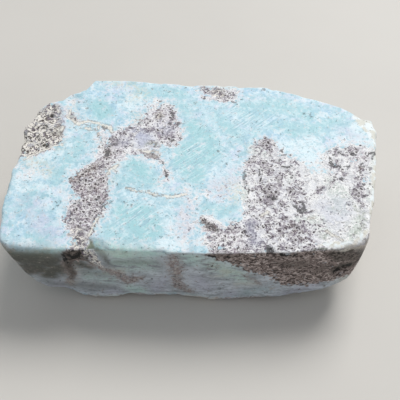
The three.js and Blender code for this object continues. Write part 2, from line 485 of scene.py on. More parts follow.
@dataclass(frozen=True)
class Grain:
    """The fine relief that only the finished surface has. Sizes in mm."""

    rim: Rim = Rim()
    rim_chip_spacing: float = 2.4
    rim_chip_depth: float = 0.9
    rim_chip_level: float = 0.5
    rim_chip_width: float = 2.0
    rim_chip_heights: tuple[float, float] = (19.0, 21.0)
    rough: tuple[tuple[float, float], ...] = ((3.1, 0.7), (1.6, 0.42), (0.9, 0.2))
    rough_below: tuple[float, float] = (0.2, 2.0)
    rough_at_rim: float = 0.15
    ripple_spacing: Triple = (9.0, 6.0, 1.1)
    ripple_depth: float = 0.16
    foot_heights: tuple[float, float] = (4.5, 0.5)
    foot_spacing: float = 3.0
    foot_depth: float = 0.3
    speck_spacing: float = 1.5
    speck_depth: float = 0.22
    hole_spacing: float = 1.7
    hole_levels: tuple[float, float] = (0.45, 0.8)
    hole_depth: float = 0.7
    crease_depth: float = 0.45

    def depth(self, point: np.ndarray, facing: np.ndarray, fields: dict[str, np.ndarray]) -> np.ndarray:
        """Depth of the fine relief at each point.

        Broken sides get three sizes of scallops, the ground front level ripples and a nibbled foot,
        the rim of the sawn top small chips, and the soft speckled stone small pits.

        Args:
            point: Points of the stone in mm.
            facing: The way each one faces on the block.
            fields: The strength of every marking at each one.

        Returns:
            One depth in mm for each point.
        """
        height = point[:, 2]
        sideways = facing[:, 0] ** 2 + np.maximum(0, facing[:, 1]) ** 2
        broken = np.clip(sideways + np.maximum(0, -facing[:, 2]) ** 2, 0, 1)
        lowered = smoothstep(Form.thickness - height, *self.rough_below)
        share = self.rough_at_rim + (1 - self.rough_at_rim) * lowered
        depth = np.zeros(len(point))
        for spacing, size in self.rough:
            depth += size * scallops(point, spacing) * broken * share
        front = np.maximum(0.0, -facing[:, 1]) ** 2
        depth += front * self.ripple_depth * noise(point / np.array(self.ripple_spacing), 1.0)
        foot = front * smoothstep(height, *self.foot_heights)
        depth += foot * self.foot_depth * scallops(point, self.foot_spacing)
        rim = 1 - smoothstep(Markings.from_edge(facing), 0.0, self.rim_chip_width)
        rim = rim * smoothstep(height, *self.rim_chip_heights)
        chips = np.maximum(0.0, noise(point, self.rim_chip_spacing) - self.rim_chip_level)
        depth += rim * self.rim_chip_depth * chips
        depth += fields["matrix"] * self.speck_depth * noise(point, self.speck_spacing) ** 2
        holes = smoothstep(noise(point, self.hole_spacing), *self.hole_levels)
        depth += fields["pitted"] * self.hole_depth * holes
        depth += fields["crease"] * self.crease_depth
        return depth


# ---------------------------------------------------------------- markings


class Mark(Enum):
    """The kinds of marking. Each is a field of the stone, which the material or the grain reads."""

    MATRIX = "matrix"
    SPECKS = "specks"
    INK = "ink"
    CREAM = "cream"
    TEAL = "teal"
    SKY = "sky"
    CLOUD = "cloud"
    BROWN = "brown"
    GREEN = "green"
    LILAC = "lilac"
    WARM = "warm"
    PINK = "pink"
    UMBER = "umber"
    OLIVE = "olive"
    PITTED = "pitted"
    # Wear on the rims, with painted glints and painted highlight.
    WEAR_AND_HIGHLIGHT = "wear_and_highlight"
    CREASE = "crease"
    SAW = "saw"


@dataclass(frozen=True)
class Marking:
    """Patches or veins of one kind on one face: how strong they are and how soft their edge, in mm."""

    mark: Mark
    level: float
    soft: float
    chains: tuple[Chain, ...]

    def at(self, x: np.ndarray, y: np.ndarray) -> np.ndarray:
        """Strength at each place: the level, times a smooth step across the edge of the blots."""
        return self.level * smoothstep(blots(self.chains, x, y), -self.soft, self.soft)


# The sawn top's markings, with blots of (x, y, radius) in mm.
TOP_MARKINGS = (
    Marking(Mark.MATRIX, 1.0, 2.5, (
        ((-43.5, 17.5, 3.4), (-44, 13, 5), (-43.8, 8.5, 5), (-46, 3.5, 3), (-47.5, 0.5, 1.4)),
        ((-41, 9.5, 2.2), (-40.2, 6.5, 1.8), (-42.4, 4.6, 1.8)),
        ((-46, 17, 3), (-48, 11, 3), (-49, 5, 2.6), (-50, 0.5, 1.4)),
        ((-9.5, 20, 1.2), (-10, 16.5, 3), (-10.5, 12, 5), (-9, 8, 3.9), (-8, 5.5, 1.6)),
        ((-12, 12, 3.2), (-17, 9.5, 2.8), (-22, 7, 3), (-23.5, 3, 3.5), (-24.5, 0, 3.1), (-25.5, -3, 2.6)),
        ((-12.5, 20, 1), (-14, 16, 2.6), (-15.5, 12, 2.8), (-17, 8, 3.2), (-16, 4, 2.2)),
        ((-9, 8, 2.8), (-13, 5.5, 2.2), (-18, 2.6, 2), (-22, 3, 2.6)),
        ((-23, 2.4, 2.6), (-20, 2.2, 2.4), (-16.6, 2, 1.8)),
        ((-17, 2.6, 1.2), (-14, 1, 1.6), (-12, -0.2, 1)),
        ((-26, -3, 2.6), (-28, -5.5, 3.8), (-29, -8.5, 5.2), (-27.8, -12, 4.5), (-27.2, -15, 3.8)),
        ((-27.6, 9.5, 0.8), (-27, 6.5, 1.6), (-26.4, 3.4, 1.8), (-26.8, 1, 1.8)),
        ((-27.2, -15, 3.8), (-29.2, -18, 4.2), (-29.8, -20.5, 4.3), (-29.6, -23.5, 3.6), (-29, -26.5, 2.3)),
        ((-29, -26.5, 2.3), (-29.5, -29, 2), (-30, -31.5, 2.4)),
        ((1.5, 27, 1.6), (5, 26, 2.8), (8.5, 25, 3), (10.5, 26.5, 1.2)),
        ((1.5, 23.2, 0.6), (5, 22.8, 1.3), (9.5, 22.8, 1.4)),
        ((18.8, 6, 1.4), (18, 2, 4), (17.5, -3, 5.6), (18, -8, 6.6), (18, -13, 7.2), (18, -18, 7.2),
         (18, -24, 8)),
        ((1.6, -22.4, 2.2), (2.6, -24, 2.6), (5, -27, 3.6), (10, -26, 4.4), (16, -26, 6), (24, -26, 6),
         (30, -26, 6)),
        ((5, -32, 2.5), (14, -33, 3.5), (26, -33, 4), (36, -31, 4), (42, -26, 4), (44, -18, 4), (47, -8, 3),
         (50, 1, 2)),
        ((23, -2, 3.4), (27, -9, 5), (30, -15, 8), (30, -22, 8), (38, -24, 6)),
        ((32, -10, 4), (38, -9, 5), (40, -14, 6), (40, -20, 4)),
        ((36, -2, 3.4), (38.5, 1, 3.2), (42, 1.5, 3.4), (46, 1, 2.8), (45, -5, 3.4), (39, -4, 3.6)),
        ((45.6, -12, 2.4), (47, -8, 2.8), (48.6, -3, 2.6), (49.6, 2, 2)),
    )),
    Marking(Mark.MATRIX, 1.0, 0.9, (
        ((-11.2, -0.4, 0.4), (-10.3, -2.6, 0.5), (-9.8, -4.6, 0.7), (-9.2, -6.4, 0.9), (-8.4, -7.6, 0.4)),
        ((-38.8, 18.4, 0.7), (-37.6, 16, 1.1), (-36, 14.2, 1.1)), ((-14.8, 1.2, 0.7), (-12, 0.6, 0.8)),
    )),
    Marking(Mark.MATRIX, 0.5, 2.6, (
        ((-37.5, 23.5, 1.4), (-37, 19, 1), (-37, 15, 1.4), (-36, 13, 1)),
        ((-4, -12, 1.8), (-2, -15, 2.2), (-3, -20, 2.6), (-4, -25, 3), (-3, -28, 2.2)),
        ((2, -12.5, 2), (6, -12.5, 3), (9, -10, 2.4), (10, -4, 1)),
        ((-48, -3, 1.2), (-45.6, -6, 2), (-43.4, -6, 1.2)), ((28, -5, 3.5), (33, -4, 2)),
        ((-12, 21, 3), (-15, 17, 3), (-18, 12, 3)), ((41, 5, 2), (45, 5, 1.6)),
        ((-36.5, 17.5, 1.6), (-35.5, 15, 2), (-34.8, 13.5, 1.4)),
        ((-11, -0.6, 1.2), (-9.8, -4, 1.4), (-8.9, -8.3, 2)), ((-29, -9, 6.4), (-29, -20, 5.6)),
    )),
    Marking(Mark.SPECKS, 0.58, 2.0, (((-43.5, 17.5, 4), (-44, 13, 6), (-43.8, 8.5, 5.5), (-46, 3.5, 4)),)),
    Marking(Mark.SPECKS, 0.66, 2.0, (
        ((-26, -3, 3), (-29, -8.5, 5.4), (-27.5, -13, 5), (-29.5, -20, 4.4), (-29.5, -25, 3),
         (-29.8, -31, 3)),
    )),
    Marking(Mark.SPECKS, 0.8, 1.0, (
        ((-26.6, -2.3, 1.8), (-27.8, -4.4, 2)), ((-25.4, 1.7, 1.3), (-25.7, -0.5, 1.2)),
        ((-22.2, 5.4, 1.4), (-19.6, 4.4, 0.9)), ((-21, 8.5, 1),), ((-8.3, 17.4, 0.8), (-8.5, 13.3, 0.9)),
        ((-9.1, 7, 1.1), (-11, 8.4, 0.8)), ((-6.2, 12.9, 0.7),),
        ((-16, 1.6, 0.7), (-14, 0.6, 1), (-12, -0.2, 0.7)),
    )),
    Marking(Mark.SPECKS, 0.44, 2.0, (
        ((-36.5, 17.5, 1.2), (-35.5, 15, 1.4), (-34.8, 13.5, 0.9)),
        ((-11, -0.6, 0.8), (-9.8, -4, 1), (-8.9, -8.3, 1.4)),
        ((-10, 16.5, 3.2), (-10.5, 12, 5.5), (-9, 8, 4.2)), ((-14, 17, 2), (-16, 11, 2.6)),
        ((-12, 12, 3.5), (-17, 9.5, 3.2), (-22, 7, 3.2), (-23.5, 3, 3.6), (-25, -2, 3)),
        ((-15, 4.6, 1.6), (-11.8, 4.2, 1.8)), ((-19, 1.4, 1.4),), ((-27, 1.4, 1.4),), ((-15.4, 20.4, 1.6),),
    )),
    Marking(Mark.SPECKS, 0.34, 2.0, (
        ((1.5, 27, 2), (5, 25, 4), (9, 25, 3)),
        ((18.8, 6, 2), (18, 2, 4.5), (17.5, -3, 5), (18.6, -10, 4.2), (17.4, -18, 4.6), (17, -24, 5)),
        ((5, -27, 3.5), (11, -26, 5), (18, -25, 6), (26, -26, 5)),
        ((38, 1, 2.4), (43, 1, 3), (43, -4, 2.4), (41.5, -12, 2.4)),
        ((37, -3, 2), (37, -8, 1.4), (31.5, -11.5, 1.2)), ((24, -2, 2), (26, -18, 2.4)),
    )),
    Marking(Mark.SPECKS, 0.85, 0.8, (
        ((-44, 18.5, 0.8), (-42, 16.5, 1.2), (-41.6, 18.5, 0.8)), ((-47, 17, 0.8), (-47.6, 15.3, 0.6)),
        ((-44, 12, 1), (-43.5, 10.5, 1.2), (-42.8, 14.5, 0.6)),
        ((-43.5, 7, 1.3), (-44.5, 5.5, 1), (-46, 3, 1.4), (-47, 1.6, 1.2)),
        ((-39.5, 7.6, 0.9), (-39.6, 5.4, 0.8)), ((-11.7, 17.5, 1.2), (-12, 15.6, 1.2)),
        ((-11.5, 10, 1.4), (-9.5, 8.6, 1.4), (-8.4, 6.6, 1)), ((-25.3, 3, 0.8), (-25.3, 0.5, 1)),
        ((-24.5, 7, 1.2), (-22, 5.5, 1.4)),
        ((-28.6, -3.6, 1.6), (-29.5, -4.8, 1.3), (-32.5, -6.4, 0.9), (-34, -8.2, 1.2), (-32.6, -9.4, 1)),
        ((-26, -6.5, 1.3), (-25.5, -9, 1)), ((-30.5, -10.3, 0.7), (-32.5, -11.2, 0.8), (-31.2, -14.8, 0.7)),
        ((-28, -10, 1.4), (-27.5, -13.5, 1.2), (-24.4, -12.8, 0.9)),
        ((-27, -17.6, 1.1), (-26.4, -19.4, 1.3)), ((-31, -17, 0.9), (-33.5, -20, 0.9)),
        ((-30, -23.5, 1.4), (-28.6, -24, 1), (-30, -25.5, 0.9)), ((-30, -30, 1.2), (-31, -31.5, 1.6)),
        ((18.5, 7, 0.6), (19.6, 5.5, 0.9), (17.2, 4.2, 1.2), (19.2, 2.3, 1.1)),
        ((12.6, 0.4, 0.9), (13.6, -2, 0.9)), ((17.4, -2.5, 1.3), (18.8, -5.4, 1.6)),
        ((18.6, -10.8, 1.1), (18.8, -12.2, 1.4), (18.2, -14.8, 1.9)),
        ((15.5, -15.2, 0.8), (17.2, -15.8, 0.8)), ((21.5, -6.5, 1), (21, -10.2, 0.9), (20.2, -13.2, 0.6)),
        ((23.5, -11.8, 1), (24, -13, 0.7)), ((21, -16.3, 0.9), (22, -17, 0.6)),
        ((21.3, -20.6, 0.8), (22.8, -22.2, 1.1), (24.5, -24, 1.3), (26.8, -25, 1)),
        ((22.8, -26, 1), (24.8, -27.6, 1.1), (26.6, -27, 0.8)), ((20.6, -24.2, 0.6), (19.8, -26.4, 0.6)),
        ((17.4, -21, 0.8), (17, -23, 0.5)),
        ((13.3, -20.4, 0.7), (13, -22.5, 1.5), (11.4, -25, 1.2), (13.8, -25.6, 1), (12, -28.8, 1.3)),
        ((29, -22.6, 0.5), (30.4, -23, 0.8)),
        ((40.6, -8, 0.8), (42, -9.4, 0.9), (41.2, -12.6, 1.4), (42.6, -13.6, 0.8), (40.2, -14.2, 0.6),
         (42, -17, 0.6)),
        ((31.8, -11.6, 1.3),), ((20, -29.6, 0.8), (22.4, -30, 0.9)),
        ((25.4, -29.6, 0.7), (27.2, -29.4, 0.7)), ((30, -28.6, 0.5),), ((7, -24.2, 0.8), (6.4, -25.6, 0.5)),
        ((1.1, -22.4, 1.3), (2.4, -23.8, 1.5), (3.5, -24.9, 1.1)),
        ((3, -29.8, 0.7), (2.4, -31, 1.2), (7, -30.5, 0.9), (11, -30.4, 0.9)),
        ((25, -30.6, 0.7), (30, -30.4, 0.6)), ((44.6, -1.6, 0.7),),
        ((2, 27.5, 0.8), (6, 26, 1), (8, 24.4, 1), (6, 23.6, 0.8)),
    )),
    Marking(Mark.INK, 1.0, 0.4, (
        ((-44, 11, 0.6),), ((-43, 6.6, 0.5),), ((-47.6, 15.4, 0.4),), ((-36.4, 22.6, 0.35),),
        ((-35.4, 21, 0.35),), ((-33.6, 21.5, 0.4),), ((-33, 18.9, 0.35),), ((-37.2, 24.2, 0.3),),
        ((-24.4, 21.8, 0.35),), ((-28.5, 27.2, 0.25),), ((-8.8, 26, 0.3),), ((-11.4, 21.4, 0.35),),
        ((-8.6, 17.2, 0.35), (-8.3, 15.4, 0.3)), ((-8.7, 13, 0.5),), ((-6, 12.9, 0.5),), ((-8.4, 6, 0.5),),
        ((-25.4, 2.2, 0.55), (-25.5, 0.8, 0.65)),
        ((-27.5, 11.2, 0.3), (-26.8, 10.5, 0.45), (-26.2, 10.6, 0.3)), ((-28.4, 8, 0.1), (-28, 7.2, 0.25)),
        ((-36.6, 16, 0.1), (-36, 14.6, 0.25)), ((-35.6, 12.8, 0.25),),
        ((-34, 11.4, 0.12), (-30, 11.2, 0.12)), ((-9.4, -5.6, 0.35), (-8.7, -7.2, 0.5)),
        ((-25, -17, 0.25), (-23.8, -16.1, 0.35), (-22.3, -15.4, 0.25)),
        ((-26.1, -22.4, 0.3), (-26.6, -24.4, 0.3)), ((-19.3, -15.4, 0.4),), ((-18.4, -16.6, 0.35),),
        ((-17.2, -16.8, 0.2),), ((-36.4, -15.8, 0.3),), ((-35.6, -15.7, 0.25),), ((-36, -17, 0.25),),
        ((-37, -17.8, 0.2),), ((-1.4, 20.4, 0.5),), ((-3.9, 28.3, 0.4),), ((1.2, 23, 0.4),),
        ((12.4, 22.8, 0.4),), ((19.2, 26.8, 0.45),), ((9.5, 21.6, 0.4), (10.8, 21, 0.7), (11.4, 19.8, 0.4)),
        ((6.9, -2.6, 0.5),), ((5.3, 1.6, 0.35),), ((10.8, 2.4, 0.3),), ((10.3, 1, 0.3),),
        ((12, -5.2, 0.22), (11.7, -7, 0.4), (11.7, -8.6, 0.45), (12.4, -10, 0.2)),
        ((12.6, -11, 0.15), (12.4, -14.4, 0.25), (12.8, -17, 0.2)),
        ((16, -5, 0.2), (16, -7.5, 0.3), (16.4, -9.6, 0.25)), ((22.3, 2.4, 0.5),),
        ((22.2, 0.6, 0.35), (23.4, 0.8, 0.3)), ((21.8, -1.2, 0.5),), ((22.7, -3.6, 0.55),),
        ((24.2, -3, 0.45),), ((24.3, -7, 0.3),),
        ((24.2, -17.2, 0.4), (25.2, -18.5, 0.55), (26.9, -17.6, 0.4), (26.6, -16, 0.4)),
        ((37.6, -7.8, 0.5),), ((35.6, -8.4, 0.3),),
        ((35.2, -0.7, 0.25), (35.5, -2.2, 0.35), (36.4, -3.6, 0.5), (37.8, -3.9, 0.35)),
        ((39.2, -3.7, 0.35), (39.8, -3, 0.2)), ((36.6, 0.5, 0.3),), ((38, 1.7, 0.5), (39, 0.9, 0.4)),
        ((41.5, 1.6, 0.5), (42.5, 0.5, 0.4)),
        ((46.2, 0.6, 0.35), (47.6, 1.5, 0.45), (47.4, 0.4, 0.25), (46.5, -0.8, 0.2)), ((19.2, -14.6, 0.6),),
        ((17.8, -14, 0.6),), ((42.8, -13.8, 0.4),), ((16.7, -29.6, 0.6), (17.4, -30.8, 0.8)),
    )),
    Marking(Mark.INK, 0.6, 0.7, (
        ((-11.8, 16, 0.5), (-11, 15.2, 0.6)), ((-24.6, 4.4, 0.7), (-22.6, 5.6, 0.5)),
        ((1.2, -22.4, 0.8), (2.2, -23.2, 1), (3.3, -24.3, 0.8)), ((42.6, -3.6, 0.5), (43.7, -3.2, 0.8)),
    )),
    Marking(Mark.INK, 0.7, 0.6, (
        ((30.2, 17.2, 0.2), (31.3, 16.2, 0.4), (32.6, 15.2, 0.1)), ((30.2, 15.4, 0.1), (32.4, 17.2, 0.1)),
    )),
    Marking(Mark.CREAM, 1.0, 0.5, (
        ((-38.4, 15.6, 0.3), (-37, 14.4, 0.45), (-34.7, 12.6, 0.55), (-32.2, 12.9, 0.45),
         (-30.4, 12.5, 0.5)),
        ((-30.4, 12.5, 0.5), (-28.4, 12.1, 0.5), (-26.9, 11.4, 0.5), (-25.4, 10.9, 0.45),
         (-24.4, 9.2, 0.3)),
        ((-34, 10.9, 0.15), (-31.6, 10.1, 0.4), (-29.6, 10.1, 0.2)),
        ((-37.6, 18.4, 0.2), (-37.6, 15.6, 0.3)), ((-28.9, 11.7, 0.2), (-28.5, 8.1, 0.15)),
        ((-47.5, -1, 0.35), (-44.5, 1.9, 0.35), (-41.5, 4.1, 0.4), (-38.5, 5, 0.3)),
        ((-19.5, -10.5, 0.3), (-17, -11.5, 0.3), (-14, -12.2, 0.3), (-11.5, -13.3, 0.3), (-8, -14, 0.35),
         (-4, -13.6, 0.3)),
        ((-22.2, -3.5, 0.4), (-23.6, -4.8, 0.4), (-24, -6.5, 0.3)),
        ((-25.8, -20.5, 0.2), (-26.6, -22.6, 0.3), (-27.4, -25.4, 0.35)),
        ((31.6, -24.4, 0.2), (33, -26, 0.3), (34.6, -27.2, 0.3)),
        ((-11.4, 1.9, 0.15), (-13.4, 2.1, 0.25), (-15.2, 1.9, 0.25), (-17, 2.4, 0.2)),
        ((15.5, -20, 0.3), (17.5, -19, 0.3)), ((27, -20.5, 0.2), (29, -20, 0.2)),
    )),
    Marking(Mark.CREAM, 0.6, 0.8, (((-39.6, 10.8, 1.2), (-39.8, 9.4, 0.8)),)),
    Marking(Mark.CREAM, 0.36, 0.5, (((-14.8, 1.2, 0.6), (-13.4, 0.8, 1), (-11.8, 0.7, 0.8)),)),
    Marking(Mark.WARM, 0.9, 2.0, (
        ((-43, 17, 3), (-44, 10, 4), (-46, 4, 2.5)), ((-40, 5.6, 1.6), (-38.5, 3.5, 1.2)),
        ((-41, 9, 1.6), (-40, 6, 1.6)), ((-38, 20, 1), (-37, 15, 1.4), (-36, 13, 1)),
        ((-28, 29.8, 1.2), (-20, 29, 1.6), (-17, 25, 1.8), (-20, 23, 1.4)),
        ((-18, 16, 1.2), (-17, 13, 1.2)), ((-46, -1.6, 1.6), (-43, -3.6, 1.8), (-40.4, -5, 1.6)),
        ((34, -9, 2), (37, -13, 3), (35, -18, 2.5)), ((4, 28.8, 0.6), (10, 28.2, 0.6)),
        ((25, -21.5, 2), (29, -21, 2), (31, -25, 2)), ((39, -22, 1.4), (38.5, -25, 2), (36, -27, 1.5)),
        ((24, -6, 1.5), (24.5, -9, 1.2)), ((44, -14, 1.2), (46, -6, 1), (48.4, 4, 0.8), (49.4, 11, 0.6)),
        ((-22.6, -3, 0.8), (-27, -24, 1.2)), ((18, 1, 2), (14, 3, 1.5)), ((10, -13, 3), (8, -10, 2)),
    )),
    Marking(Mark.PINK, 1.0, 2.5, (
        ((-23, 3, 3), (-26, -4, 3.5), (-29, -9, 5), (-28, -14, 4.5), (-29.5, -20, 4.5), (-29.5, -27, 3)),
        ((-10.5, 16, 3), (-9, 9, 4)), ((3, -26, 3), (9, -28, 3)), ((13.5, -1, 2),), ((-47, -1, 1.5),),
        ((42, -3, 2), (44, 0, 2)),
    )),
    Marking(Mark.TEAL, 0.95, 2.6, (
        ((-29.5, 20, 2.8), (-28, 17, 3)), ((-17.5, -3, 2.8), (-15, -6, 2.6)),
        ((-19, -19, 3.2), (-15, -21, 4.6), (-13, -24, 4)), ((-1.4, 21, 0.8),),
        ((-2, 12, 2.4), (1, 6, 4), (1.5, 2, 4.6), (-3, -2, 4), (-1, -7, 3)), ((-4, 3, 3), (-6, -2, 2)),
        ((-39.5, -27, 1.4),), ((31.5, 15, 1.4),), ((27, 9, 1.4),), ((19.5, 20, 1.6),), ((38, 13, 1.5),),
    )),
    Marking(Mark.TEAL, 0.6, 2.4, (
        ((-34, 6, 1.8), (-33, 4, 2.4), (-35, 0, 2.2), (-37, -5, 2), (-38, -9, 1.5)),
        ((-12, -9, 2.5), (-20, -8, 2)), ((-22, -25, 3), (-18, -27, 3)),
        ((7, 12, 3), (10, 8, 3), (5, 16, 2)), ((2, -18, 2.2), (6, -18.5, 2.4), (9.5, -17.2, 1.2)),
        ((-44, -12, 2), (-46, -18, 2)), ((-7, 21, 2), (-3, 17, 2)),
        ((22, 12, 3), (30, 10, 3), (36, 12, 3), (40, 14, 2)), ((14, 18, 4), (24, 20, 4), (32, 17, 3)),
        ((-16, 26, 3), (-6, 25, 3)), ((16, 9, 2.4),), ((-37, -28, 2), (-42, -26, 1.5)),
    )),
    Marking(Mark.SKY, 0.9, 1.8, (
        ((-13, 26.5, 1.6), (-12, 24, 1.2)), ((-4.5, 28, 0.8), (-2, 26.8, 1.4), (-1, 28, 0.8)),
        ((13, 27, 1.4), (19, 26.5, 1.2)),
    )),
    Marking(Mark.SKY, 0.5, 2.2, (
        ((-32, 26, 2), (-25, 24.5, 2.5)), ((-15.6, 20.6, 1.2), (-14, 22, 1)), ((-23, 16, 3), (-22, 13, 2)),
        ((22, 25, 2), (30, 21, 3), (36, 18, 2)), ((-47, -14, 2), (-44, -26, 2), (-38, -20, 2)),
        ((17, 20, 3), (22, 16, 3)), ((16, 10, 2), (24, 7, 2)),
    )),
    Marking(Mark.CLOUD, 1.0, 3.0, (
        ((24, 4.5, 2), (29, 3, 3.4), (33, -1, 3), (32, 4, 3)),
        ((44, 12, 2.4), (46, 9.5, 3.4), (48, 5, 2.4)), ((40, 7, 2.5), (44, 6, 2.5)),
        ((-39.6, 21, 0.6), (-39.2, 16, 1), (-38.4, 11.4, 0.8)),
        ((-46, -3.4, 0.4), (-41.4, 0, 1), (-38.6, 2.4, 0.8)), ((28, -7, 2), (30, -4, 2)),
        ((9.5, -4, 2), (8.5, -9, 3), (4, -12, 2.5)),
    )),
    Marking(Mark.CLOUD, 0.6, 3.0, (
        ((-45.5, -15, 0.8), (-46.5, -17, 0.8)), ((-41, -17, 1), (-43, -20, 1)),
        ((-47, -4, 2), (-45, -9, 3)), ((-8, -22, 2), (-6, -28, 2.5)), ((6, -12, 3), (4, -14, 2)),
        ((-19, 19, 3), (-17, 23, 3)), ((-42, -1, 2.5),),
        ((-38, 9, 1.6), (-37, 5, 1.6), (-40, 2, 1.6), (-36, -1.6, 1.2)),
        ((-41, 20.5, 1.5), (-38.5, 22.6, 1.5), (-37, 24.6, 1.2)), ((-38, -12, 2), (-35, -15, 1.5)),
        # The first two chains on the next line are painted highlight: white spots along the front rim.
        ((-34, -29, 1), (-42, -28.6, 1)), ((-11, -29, 1.5), (-4, -30, 1)), ((20, 28, 1), (34, 22, 1.2)),
    )),
    Marking(Mark.BROWN, 1.0, 0.6, (
        ((1, -22.2, 1), (2.2, -23.6, 1.3), (3.4, -24.4, 0.9)), ((42.6, -3.6, 0.8), (43.8, -3, 1.2)),
        ((-11.4, 16.6, 0.9), (-11.2, 15.4, 1)), ((14, -2, 0.3),), ((42.3, -18.3, 0.3),),
        ((-34, -8, 1.2), (-31, -5.6, 1.3), (-28.6, -4, 1.6)), ((-25.4, 1.7, 1), (-25.7, 0, 0.8)),
    )),
    # Painted shadow: dark olive down the crease of the notch at the front rim.
    Marking(Mark.OLIVE, 1.0, 1.1, (
        ((-27, -26.8, 0.3), (-26.6, -28.6, 1), (-26, -30, 1.6), (-25, -31.4, 1.7)),
    )),
    Marking(Mark.OLIVE, 0.48, 2.0, (
        ((39, -17, 1.2), (40.6, -20, 1.5), (40.6, -22.6, 1.7), (38.4, -25.2, 1.4)), ((36.6, -23, 1),),
        ((31, -26.6, 1.4),), ((-14.6, 4.4, 1.4), (-12, 4.2, 1.2)),
    )),
    Marking(Mark.OLIVE, 0.55, 0.8, (
        ((24, -30.8, 0.2), (30, -30.3, 0.5), (36, -29.9, 0.7), (40, -28.8, 0.7), (42, -26.5, 0.4)),
    )),
    Marking(Mark.CREASE, 1.0, 0.8, (((-27.3, -26, 0.1), (-26.8, -28, 0.4), (-26.4, -29.4, 0.3)),)),
    # Partly the stone's green, partly painted light: a pale green glow along the rounded front rim.
    Marking(Mark.GREEN, 0.9, 1.2, (
        ((-25.4, -28, 0.8), (-22.6, -29.6, 1.2), (-19, -30.6, 0.8), (-12, -31, 0.6), (-6, -31.2, 0.3)),
        ((-45, -30, 0.5), (-38, -30.6, 0.6), (-33, -30.8, 0.4)),
    )),
    # Pale wear with painted highlight along the right end's rim, painted glints along the front rim, and
    # painted light on the shaded lip at the right front.
    Marking(Mark.WEAR_AND_HIGHLIGHT, 1.0, 0.9, (
        ((44.6, 15.2, 0.8), (47, 13, 2.2), (49.2, 10.4, 2.6), (50, 7, 2), (49.6, 3, 1.5),
         (48.4, -2.4, 1.6)),
        ((-21, -30, 0.2), (-19, -30.1, 0.35)), ((-14, -30.3, 0.35), (-12, -30.3, 0.2)),
        ((-40, -29.6, 0.3), (-36, -29.8, 0.5), (-32.6, -29.8, 0.3)),
        ((-21, -30.8, 0.2), (-16, -31, 0.5), (-8, -31.2, 0.2)),
        ((48.4, -2.4, 1.6), (47.4, -7.4, 1.6), (46.6, -12, 1.5), (45.2, -16, 1), (43.6, -20, 0.7)),
        ((29, -29.2, 0.3), (31.6, -28.8, 0.6), (34.6, -29, 0.9), (37, -28.6, 1), (39.4, -27.4, 0.9)),
        ((39.4, -27.4, 0.9), (41.4, -24.4, 0.6)),
    )),
    Marking(Mark.PITTED, 1.0, 1.2, (
        ((-42.5, 19, 2), (-44, 15, 4.4), (-44, 11, 5), (-44.5, 6.5, 3.8), (-47, 2, 2.2), (-49, 0, 1)),
        ((-47, 16, 2.4), (-48.6, 10, 2.4), (-49, 4, 2)), ((-40.5, 9, 1.8), (-40, 6.5, 1.4)),
        ((-37, 14.6, 1), (-36, 13.6, 0.7)),
    )),
    Marking(Mark.PITTED, 0.55, 1.2, (
        ((-30.5, -25, 2.2), (-30, -28, 2.4), (-29.5, -31, 2.6)), ((-12, 15.9, 1.6),), ((5.5, 26, 2.6),),
        ((-25.5, 1.6, 1),),
    )),
    Marking(Mark.BROWN, 0.4, 1.2, (
        ((-24.5, -2.5, 1), (-23.4, -1.4, 0.8)), ((-13, 0.9, 1), (-12, 0.4, 0.8)), ((-11.8, 16.8, 2),),
        ((1, 14.5, 0.8),), ((-29, -8, 3), (-28, -14, 2)), ((18, -13.5, 1.6),), ((-43, 6, 1.5),),
        ((24.8, -26, 2), (22, -22, 1.2)), ((-30, -31, 1.6),),
    )),
    Marking(Mark.LILAC, 1.0, 1.4, (((-17.3, 8.8, 1.6), (-15.4, 6.2, 2.4), (-16, 4.4, 1.4)),)),
    Marking(Mark.LILAC, 0.5, 1.8, (
        ((-18, 8, 2), (-15.5, 6.5, 2.6), (-14, 4.4, 2)), ((-27.3, 8.4, 0.8),), ((-21, 5.5, 1.6),),
        ((12.8, -22.4, 1.4), (13.4, -28, 1.6)), ((-10, 11, 3),), ((40, 10, 2), (43, 8, 2)),
        ((36, -16, 3), (34, -20, 3), (32, -17, 2)), ((-3, -17, 2), (-4, -25, 2)), ((9, -6, 3), (5, -11, 3)),
        ((-44, -16, 3), (-40, -22, 3), (-35, -26, 2)),
        ((-39.8, 21, 1), (-39.2, 16, 1.6), (-38.4, 11.4, 1.2)),
    )),
    Marking(Mark.SAW, 1.0, 4.0, (
        ((2, 5, 4), (7, 10, 4), (13, 14, 3)), ((-4, -4, 4), (0, 2, 4)), ((-16, -22, 5),),
        ((20, 12, 3), (9, 20, 3)),
    )),
)

